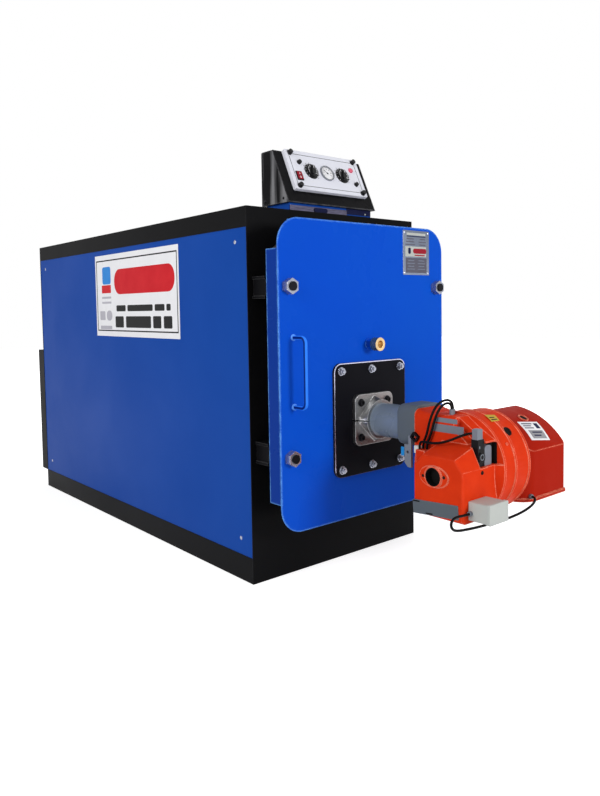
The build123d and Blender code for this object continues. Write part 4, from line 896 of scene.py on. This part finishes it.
def dial_place(middle, angle, radius, lift):
    """Place on a round scale of the fascia, at this angle clockwise from straight up."""
    return fascia_place(middle + radius * math.sin(angle), radius * math.cos(angle), lift)


def tick(middle, angle, radius, lift, length, width):
    """Short line on a round scale that points at its middle."""
    turn = Matrix.Rotation(-angle, 4, "Z")
    return plate(width, length, FASCIA_PRINT), dial_place(middle, angle, radius, lift) @ turn


class BOILER_OT_fascia(bpy.types.Operator):
    """Print, marks, gauge face and bezels on the control fascia"""
    bl_idname = "boiler.fascia"
    bl_label = "Fascia"

    def execute(self, context):
        marks = [(frame_strip(0.294, 0.121, 0.0018, FASCIA_PRINT, 0.002), fascia_place())]
        dial_marks = []
        dial_offset, pointer_angle = 0.0695, math.radians(20)
        for dial in (-dial_offset, dial_offset):
            for step in range(11):
                angle = math.radians(-135 + 27 * step)
                marks.append(tick(dial, angle, 0.0325, 0, 0.004, 0.0013))
                dial_marks.append(tick(dial, angle, 0.0255, 0.003, 0.0036, 0.0016))
                if 0 < step < 5 or step > 6:
                    dial_marks.append((written(str(step), 0.0090), dial_place(dial, angle, 0.0170, 0.0082)))
            dial_marks.append(tick(dial, pointer_angle, 0.012, 0.014, 0.012, 0.0018))
        finish_piece("fascia_print", marks, "boiler", "knob_black", "ink_black")
        finish_piece("dial_marks", dial_marks, "boiler", "fascia_white", "label_white")

        floor, card = 0.002, 0.0004
        finish_piece("gauge_face", [(disc(0.0243, card), fascia_place(0, 0, floor))],
                     "boiler", "fascia_white", "label_white")
        scale = [(flat_ring(0.0232, 0.0228, FASCIA_PRINT), fascia_place(0, 0, floor + card))]
        for step in range(25):
            angle = math.radians(-120 + 10 * step)
            length, width = (0.0024, 0.0004) if step % 4 else (0.0042, 0.0008)
            scale.append(tick(0, angle, 0.0226 - length / 2, floor + card, length, width))
            if step % 4 == 0:
                scale.append((written(str(step * 5), 0.0046), dial_place(0, angle, 0.0150, floor + 0.0005)))
        finish_piece("gauge_scale", scale, "boiler", "knob_black", "ink_black")
        needle_place = fascia_place(0, 0, floor + 0.0012) @ turned_by(52) @ Matrix.Translation((0, 0.0065, 0))
        finish_piece("gauge_needle", [
            (plate(0.0011, 0.0230, 0.0004), needle_place),
            (disc(0.0026, 0.0016, 0.0004, 20), fascia_place(0, 0, floor + card)),
        ], "boiler", "knob_black")

        across, rise = -0.129, -0.024
        finish_piece("rocker_bezel", [
            (frame_strip(0.0250, 0.0330, 0.0028, 0.0030, 0.002), fascia_place(across, rise)),
            (plate(0.0190, 0.0016, 0.0055), fascia_place(across, rise)),
        ], "boiler", "knob_black")
        finish_piece("rocker_marks", [
            (plate(0.0018, 0.0064, FASCIA_PRINT), fascia_place(across, rise + 0.0065, 0.005)),
            (flat_ring(0.0036, 0.0022, FASCIA_PRINT), fascia_place(across, rise - 0.0065, 0.005)),
        ], "boiler", "fascia_white", "label_white")
        finish_piece("lamp_lens", [(disc(0.0090, 0.0052, 0.0022, 28), fascia_place(0.119, 0.027))],
                     "boiler", "switch_red", "lamp_pink")
        return {"FINISHED"}


class BOILER_OT_control_box(bpy.types.Operator):
    """Rear slots and screws of the control box, with the catch, the cover and the screw below its front"""
    bl_idname = "boiler.control_box"
    bl_label = "Control box"

    def execute(self, context):
        low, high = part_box("control_box")
        slot_pitch, slot_rise = 0.024, 0.088
        # Painted shade: dark plates stand for the shade inside the rear slots
        finish_piece("control_slots", [
            (plate(0.007, 0.062, 0.0012, 0.0034, 0.0005),
             placed((column * slot_pitch, high.y, low.z + slot_rise), REAR))
            for column in range(-4, 5)
        ], "boiler", "control_black", "hole_shade_black")
        finish_piece("control_screws", [
            (screw_head(0.0045, 0.0018), placed((face, y, low.z + 0.014), out))
            for face, out in ((low.x, LEFT), (high.x, RIGHT)) for y in (high.y - 0.018, high.y - 0.112)
        ], "boiler", "stud_black")
        low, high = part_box("control_strip")
        finish_piece("control_catch", [
            (plate(0.058, 0.015, 0.003, 0.0074, 0.001, 8), placed((-0.052, low.y, low.z + 0.0105), FRONT)),
        ], "boiler", "control_black", "navy")
        start = high.x + 0.0005
        low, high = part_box("control_base")
        cover_depth = 0.0006
        finish_piece("control_base_cover", [
            (plate(high.x - start, 0.022, cover_depth), placed(((high.x + start) / 2, low.y, 1.1685), FRONT)),
        ], "boiler", "control_black", "navy")
        finish_piece("control_base_screw", [
            (screw_head(0.003, 0.0012), placed((0.156, low.y - cover_depth, 1.163), FRONT)),
        ], "boiler", "box_grey")
        return {"FINISHED"}


# ---------------- burner

def on_hood(x, angle, lift):
    """Point on the silencer's round hood, at this angle in degrees above straight ahead."""
    turn = math.radians(angle)
    radius = HOOD_RADIUS + lift
    return HOOD + Vector((x, -radius * math.cos(turn), radius * math.sin(turn)))


def on_scroll(x, angle, lift):
    """Point on the fan's scroll, at this angle in degrees above straight ahead."""
    turn = math.radians(angle)
    radius = SCROLL_RADIUS + lift
    return FAN + Vector((x, -radius * math.cos(turn), radius * math.sin(turn)))


def stood_on(surface, x, angle):
    """Place on a round surface, square to it."""
    foot = surface(x, angle, 0.0)
    return placed(foot, surface(x, angle, 1.0) - foot)


def curved_patch(surface, corners, lift, across=(0, 1), rise=(0, 1)):
    """Thin sheet on a round surface, over this share of the area between four corners."""
    bm = bmesh.new()
    bmesh.ops.create_grid(bm, x_segments=8, y_segments=8, size=0.5)
    top_left, top_right, low_right, low_left = (Vector(corner) for corner in corners)
    for vert in bm.verts:
        u = across[0] + (vert.co.x + 0.5) * (across[1] - across[0])
        v = rise[0] + (vert.co.y + 0.5) * (rise[1] - rise[0])
        x, angle = low_left.lerp(low_right, u).lerp(top_left.lerp(top_right, u), v)
        vert.co = surface(x, angle, lift)
    bmesh.ops.recalc_face_normals(bm, faces=bm.faces[:])
    bmesh.ops.solidify(bm, geom=bm.faces[:], thickness=0.0003)
    return bm


def curved_prints(surface, corners, *rows):
    """Prints on a round surface, from rows of their lift and of the shares they cover across and up."""
    return [(curved_patch(surface, corners, *row), Matrix()) for row in rows]


class BOILER_OT_burner_castings(bpy.types.Operator):
    """Fan housing, silencer, collar, junction box and entry of the leads with their edges rounded"""
    bl_idname = "boiler.burner_castings"
    bl_label = "Burner castings"

    def execute(self, context):
        slots = {row["node"]: row["material_slot"] for row in frame["record"]["subparts"]}
        for node, radius, sharp, smooth, finish in (
                ("silencer", 0.003, 25, 30, "silencer_red"),
                ("fan_housing", 0.0016, 28, 36, None),
                ("head_collar", 0.003, 28, 36, None),
                ("junction_box", 0.0012, 40, 40, None),
                ("lead_entry", 0.0015, 40, 40, "burner_orange")):
            shape = eased_copy(node, radius, sharp)
            piece = finish_piece(node + "_eased", shape, "door", slots[node], finish, smooth)
            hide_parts(node)
        return {"FINISHED"}


class BOILER_OT_housing_trim(bpy.types.Operator):
    """Band of the fan housing with dark slots, painted shade in its port, screw holes and scroll hole, and
    the small fittings on its throat
    """
    bl_idname = "boiler.housing_trim"
    bl_label = "Housing trim"

    def execute(self, context):
        tilt = turned_by(4.0)
        band_depth = 0.0016
        band = plate(0.153, 0.038, band_depth, 0.003, 0.0005)
        finish_piece("housing_band", [(band, placed((HOUSING_LEFT, -1.3715, 0.3020), LEFT) @ tilt)],
                     "door", "collar_grey")
        # Painted shade: dark plates for the band's two slots
        finish_piece("housing_band_slots", [
            (plate(0.024, 0.004, 0.0003, 0.0018), placed((HOUSING_LEFT - band_depth, y, z), LEFT) @ tilt)
            for y, z in ((-1.307, 0.3125), (-1.352, 0.2860))
        ], "door", "valve_black", "hole_shade_black")

        # Painted shade: a dark cup inside the port
        port_shade_profile = [(0.0242, 0.0002), (0.0247, 0.0002), (0.0247, -0.0236), (0, -0.0236), (0, -0.0228),
                 (0.0238, -0.0228)]
        port = placed((HOUSING_LEFT - 0.006, FAN.y - 0.032, FAN.z - 0.006), LEFT)
        finish_piece("port_shade", [(turned(port_shade_profile), port)], "door", "valve_black", "hole_shade_black")
        # Painted shade: dark discs in the screw holes beside the port and on the front
        finish_piece("housing_screw_hole_shades", [
            (disc(radius, 0.0012, 0.0004, 20), placed(place, out)) for radius, place, out in (
                (0.0042, (HOUSING_LEFT - 0.003, -1.333, 0.387), LEFT),
                (0.0042, (HOUSING_LEFT - 0.003, -1.403, 0.393), LEFT),
                (0.0055, (-0.068, -1.462, 0.402), FRONT))
        ], "door", "burner_orange", "hole_shade_black")
        # Painted shade: a dark disc, shaped like a grommet, over the hole in the scroll
        hole_shade_profile = [(0, 0.0002), (0.0090, 0.0002), (0.0100, 0.0026), (0.0125, 0.0030), (0.0135, 0.0018),
                   (0.0135, -0.0020), (0, -0.0020)]
        finish_piece("scroll_hole_shade", [(turned(hole_shade_profile, 36), stood_on(on_scroll, 0.069, 41.5))],
                     "door", "valve_black", "hole_shade_black")

        finish_piece("throat_strips", [
            (plate(0.078, 0.013, 0.0006, 0.001), placed((THROAT_LEFT, -1.341, 0.527), LEFT)),
            (plate(0.106, 0.022, 0.0006, 0.001), placed((THROAT_LEFT, -1.348, 0.504), LEFT)),
        ], "door", "servo_grey")
        finish_piece("lead_clip", [
            (frame_strip(0.024, 0.022, 0.005, 0.010, 0.003),
             placed((THROAT_LEFT - 0.0002, -1.2335, 0.468), LEFT) @ turned_by(-35)),
        ], "door", "valve_black")
        finish_piece("white_connector", [
            (plate(0.020, 0.022, 0.012, 0.002, 0.001), placed((THROAT_LEFT, -1.2455, 0.434), LEFT)),
        ], "door", "box_grey", "connector_white")
        return {"FINISHED"}


class BOILER_OT_valve_trim(bpy.types.Operator):
    """Sleeve of the pump's lug, dark block and sheet of painted shade in the recess beside the servo, and
    marks on the oil valve
    """
    bl_idname = "boiler.valve_trim"
    bl_label = "Valve trim"

    def execute(self, context):
        low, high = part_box("pump_lug")
        sleeve = plate(0.012, 0.026, 0.003, 0.002, 0.0006)
        finish_piece("lug_sleeve", [(sleeve, placed((low.x + 0.001, high.y + 0.0058, 0.4215), LEFT))],
                     "door", "servo_grey", "sleeve_blue")
        low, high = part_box("valve_servo")
        # Painted shade: a dark block and sheet fill the recess to the right of the servo
        finish_piece("servo_recess_shade", [
            (plate(0.010, 0.057, high.y - low.y - 0.004, 0.003, 0.001),
             placed((high.x + 0.0052, high.y, low.z + 0.029), FRONT)),
            (plate(0.030, 0.058, 0.0006, 0.003), placed((-0.0001, high.y - 0.0160, low.z + 0.0295), LEFT)),
        ], "door", "valve_black", "hole_shade_black")
        low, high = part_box("valve_body")
        across = (low.x + high.x) / 2
        finish_piece("valve_marks", [
            (flat_ring(0.0085, 0.0062, 0.0004), placed((across, low.y, low.z + 0.026), FRONT)),
            (plate(0.0040, 0.0070, 0.0004), placed((across - 0.006, low.y + 0.0042, low.z + 0.052), FRONT)),
        ], "door", "servo_grey")
        return {"FINISHED"}


class BOILER_OT_hood_trim(bpy.types.Operator):
    """Label and eye on the silencer's hood, label and bolts on the scroll"""
    bl_idname = "boiler.hood_trim"
    bl_label = "Hood trim"

    def execute(self, context):
        # Corners of each label, clockwise from its upper left: x in metres, angle in degrees
        hood = ((0.2145, 61.2), (0.2990, 57.3), (0.2850, 39.7), (0.2010, 42.9))
        scroll = ((0.0448, 69.4), (0.0818, 66.3), (0.0725, 56.3), (0.0370, 56.8))
        finish_piece("hood_plate", curved_patch(on_hood, hood, 0.0004), "door", "box_grey", "label_white")
        finish_piece("hood_plate_field", curved_prints(on_hood, hood, (0.0006, (0.16, 0.90), (0.08, 0.50))),
                     "door", "servo_grey", "ink_grey")
        finish_piece("hood_plate_marks", curved_prints(
            on_hood, hood,
            (0.0006, (0.10, 0.62), (0.84, 0.90)), (0.0006, (0.10, 0.50), (0.72, 0.77)),
            (0.0006, (0.10, 0.56), (0.60, 0.65)), (0.0006, (0.70, 0.90), (0.60, 0.90)),
            (0.0009, (0.30, 0.80), (0.36, 0.42)), (0.0009, (0.30, 0.66), (0.20, 0.26)),
        ), "door", "servo_grey", "navy")

        eye = stood_on(on_hood, 0.2625, 64.0)
        eye_radius = 0.0118
        rim = [(eye_radius, 0), (0.0170, 0), (0.0164, 0.0026), (0.0146, 0.0034), (0.0124, 0.0026)]
        # Painted shade: a dark disc inside the eye's rim
        finish_piece("hood_eye", [(disc(eye_radius, 0.0004, sides=32), eye)],
                     "door", "valve_black", "hole_shade_black")
        finish_piece("hood_eye_rim", [(turned(rim, 40), eye)], "door", "burner_orange", "silencer_red")

        finish_piece("scroll_label", curved_patch(on_scroll, scroll, 0.0025),
                     "door", "box_grey", "label_olive")
        finish_piece("scroll_label_marks", curved_prints(
            on_scroll, scroll, (0.0028, (0.16, 0.84), (0.16, 0.30)), (0.0028, (0.16, 0.70), (0.46, 0.60)),
        ), "door", "valve_black", "ink_black")
        finish_piece("scroll_bolts", [
            (hexagon(0.008, 0.004), stood_on(on_scroll, x, angle))
            for x, angle in ((0.053, 20.5), (0.035, 28.0))
        ], "door", "burner_orange")
        return {"FINISHED"}


# ---------------- rear

class BOILER_OT_rear_fittings(bpy.types.Operator):
    """Bolts and washers of the cleaning cover at the rear"""
    bl_idname = "boiler.rear_fittings"
    bl_label = "Rear fittings"

    def execute(self, context):
        low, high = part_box("cleaning_cover")
        inset, washer_depth = 0.024, 0.0015
        bolts = []
        for x in (low.x + inset, high.x - inset):
            for z in (low.z + inset, high.z - inset):
                bolts.append((disc(0.011, washer_depth, 0.0004, 24), placed((x, high.y, z), REAR)))
                bolts.append((hexagon(0.017, 0.007), placed((x, high.y + washer_depth, z), REAR)))
        finish_piece("cover_bolts", bolts, "boiler", "zinc_steel")
        return {"FINISHED"}


# ---------------- studio

WHITE = (1, 1, 1, 1)

# Distances from the middle at which the floor starts to glow more and is plain white
SHADOW_REACH, GLOW_REACH = 1.2, 3.2


def seen_by_eye_or_gloss(tree):
    """One for a ray from the camera, a reflection or a transmission, and nothing for plain light."""
    light_path = put(tree, "ShaderNodeLightPath").outputs
    eye_or_gloss = combine(tree, light_path["Is Camera Ray"], light_path["Is Glossy Ray"], "MAXIMUM")
    return combine(tree, eye_or_gloss, light_path["Is Transmission Ray"], "MAXIMUM")


def floor_material():
    """Matt white floor that is white to the eye and in reflections and keeps the object's shadow."""
    material = bpy.data.materials.new("floor_white")
    material.use_nodes = True
    tree = material.node_tree
    tree.nodes.clear()
    place = object_place(tree)
    grain = noise(tree, place, 3.0, 3.0)
    colour = blend_colours(tree, grain, (0.80, 0.80, 0.80, 1), (0.82, 0.82, 0.82, 1))
    matt = put(tree, "ShaderNodeBsdfDiffuse", {"Color": colour}).outputs[0]
    # The floor glows more with its distance from the middle, so the shadow shows near the object only
    distance = put(tree, "ShaderNodeVectorMath", {0: place}, operation="LENGTH").outputs["Value"]
    strength = spread(tree, distance, SHADOW_REACH, GLOW_REACH, 0.66, 1.3)
    glow = put(tree, "ShaderNodeEmission", {"Color": WHITE, "Strength": strength}).outputs[0]
    shown = put(tree, "ShaderNodeAddShader", {0: matt, 1: glow}).outputs[0]
    both = put(tree, "ShaderNodeMixShader", {0: seen_by_eye_or_gloss(tree), 1: matt, 2: shown}).outputs[0]
    put(tree, "ShaderNodeOutputMaterial", {"Surface": both})
    return material


def add_lamp(name, where, target, size, power):
    """Square soft lamp that faces a target."""
    lamp_data = bpy.data.lights.new(name, "AREA")
    lamp_data.shape = "SQUARE"
    lamp_data.size = size
    lamp_data.energy = power
    lamp = bpy.data.objects.new(name, lamp_data)
    bpy.context.scene.collection.objects.link(lamp)
    aim = (Vector(target) - Vector(where)).to_track_quat("-Z", "Y").to_matrix().to_4x4()
    lamp.matrix_world = Matrix.Translation(where) @ aim


class BOILER_OT_stage(bpy.types.Operator):
    """Pale floor, white surroundings and soft lamps"""
    bl_idname = "boiler.stage"
    bl_label = "Stage"

    def execute(self, context):
        studio = context.scene.boiler_studio
        floor_mesh = bpy.data.meshes.new("floor")
        bm = bmesh.new()
        floor_half, floor_gap = 14, 0.0005
        bmesh.ops.create_grid(bm, x_segments=8, y_segments=8, size=floor_half)
        bmesh.ops.translate(bm, vec=(0, 0, -floor_gap), verts=bm.verts)
        bm.to_mesh(floor_mesh)
        bm.free()
        floor = bpy.data.objects.new("floor", floor_mesh)
        context.scene.collection.objects.link(floor)
        floor_mesh.materials.append(floor_material())

        world = bpy.data.worlds.new("studio")
        world.use_nodes = True
        tree = world.node_tree
        tree.nodes.clear()
        lighting, shown = (
            put(tree, "ShaderNodeBackground", {"Color": WHITE, "Strength": strength}).outputs[0]
            for strength in (studio.sky, 1.0))
        both = put(tree, "ShaderNodeMixShader", {0: seen_by_eye_or_gloss(tree), 1: lighting, 2: shown})
        put(tree, "ShaderNodeOutputWorld", {"Surface": both.outputs[0]})
        context.scene.world = world

        add_lamp("key", (0.5, -4.8, 1.5), (0, -0.5, 0.6), 1.0, studio.key_power)
        add_lamp("fill", (-4.6, -1.4, 2.3), (0, -0.1, 0.6), 2.6, studio.fill_power)
        add_lamp("rear", (3.4, 3.0, 2.9), (0, 0.3, 0.6), 2.6, studio.rear_power)
        return {"FINISHED"}


# ---------------- panel and registration

OPERATORS = (
    BOILER_OT_view,
    BOILER_OT_finishes,
    BOILER_OT_leads,
    BOILER_OT_side_label,
    BOILER_OT_panel_screws,
    BOILER_OT_data_plate,
    BOILER_OT_door_fittings,
    BOILER_OT_tube_welds,
    BOILER_OT_fascia,
    BOILER_OT_control_box,
    BOILER_OT_burner_castings,
    BOILER_OT_housing_trim,
    BOILER_OT_valve_trim,
    BOILER_OT_hood_trim,
    BOILER_OT_rear_fittings,
    BOILER_OT_stage,
)

SETTINGS = {
    "boiler_paint": BoilerPaint,
    "boiler_print": BoilerPrint,
    "boiler_studio": BoilerStudio,
}


class BOILER_PT_build(bpy.types.Panel):
    """Buttons that add the boiler's pieces, and the settings they read"""
    bl_idname = "BOILER_PT_build"
    bl_label = "Boiler"
    bl_space_type = "VIEW_3D"
    bl_region_type = "UI"
    bl_category = "Boiler"

    def draw(self, context):
        layout = self.layout
        for operator in OPERATORS:
            layout.operator(operator.bl_idname)
        for name, group in SETTINGS.items():
            box = layout.box()
            for setting in group.__annotations__:
                box.prop(getattr(context.scene, name), setting)


def register():
    for item in (*SETTINGS.values(), *OPERATORS, BOILER_PT_build):
        bpy.utils.register_class(item)
    for name, group in SETTINGS.items():
        setattr(bpy.types.Scene, name, bpy.props.PointerProperty(type=group))


def unregister():
    for name in SETTINGS:
        delattr(bpy.types.Scene, name)
    for item in reversed((*SETTINGS.values(), *OPERATORS, BOILER_PT_build)):
        bpy.utils.unregister_class(item)


def main():
    register()
    for operator in OPERATORS:
        category, name = operator.bl_idname.split(".")
        getattr(getattr(bpy.ops, category), name)()


if __name__ == "__main__":
    main()
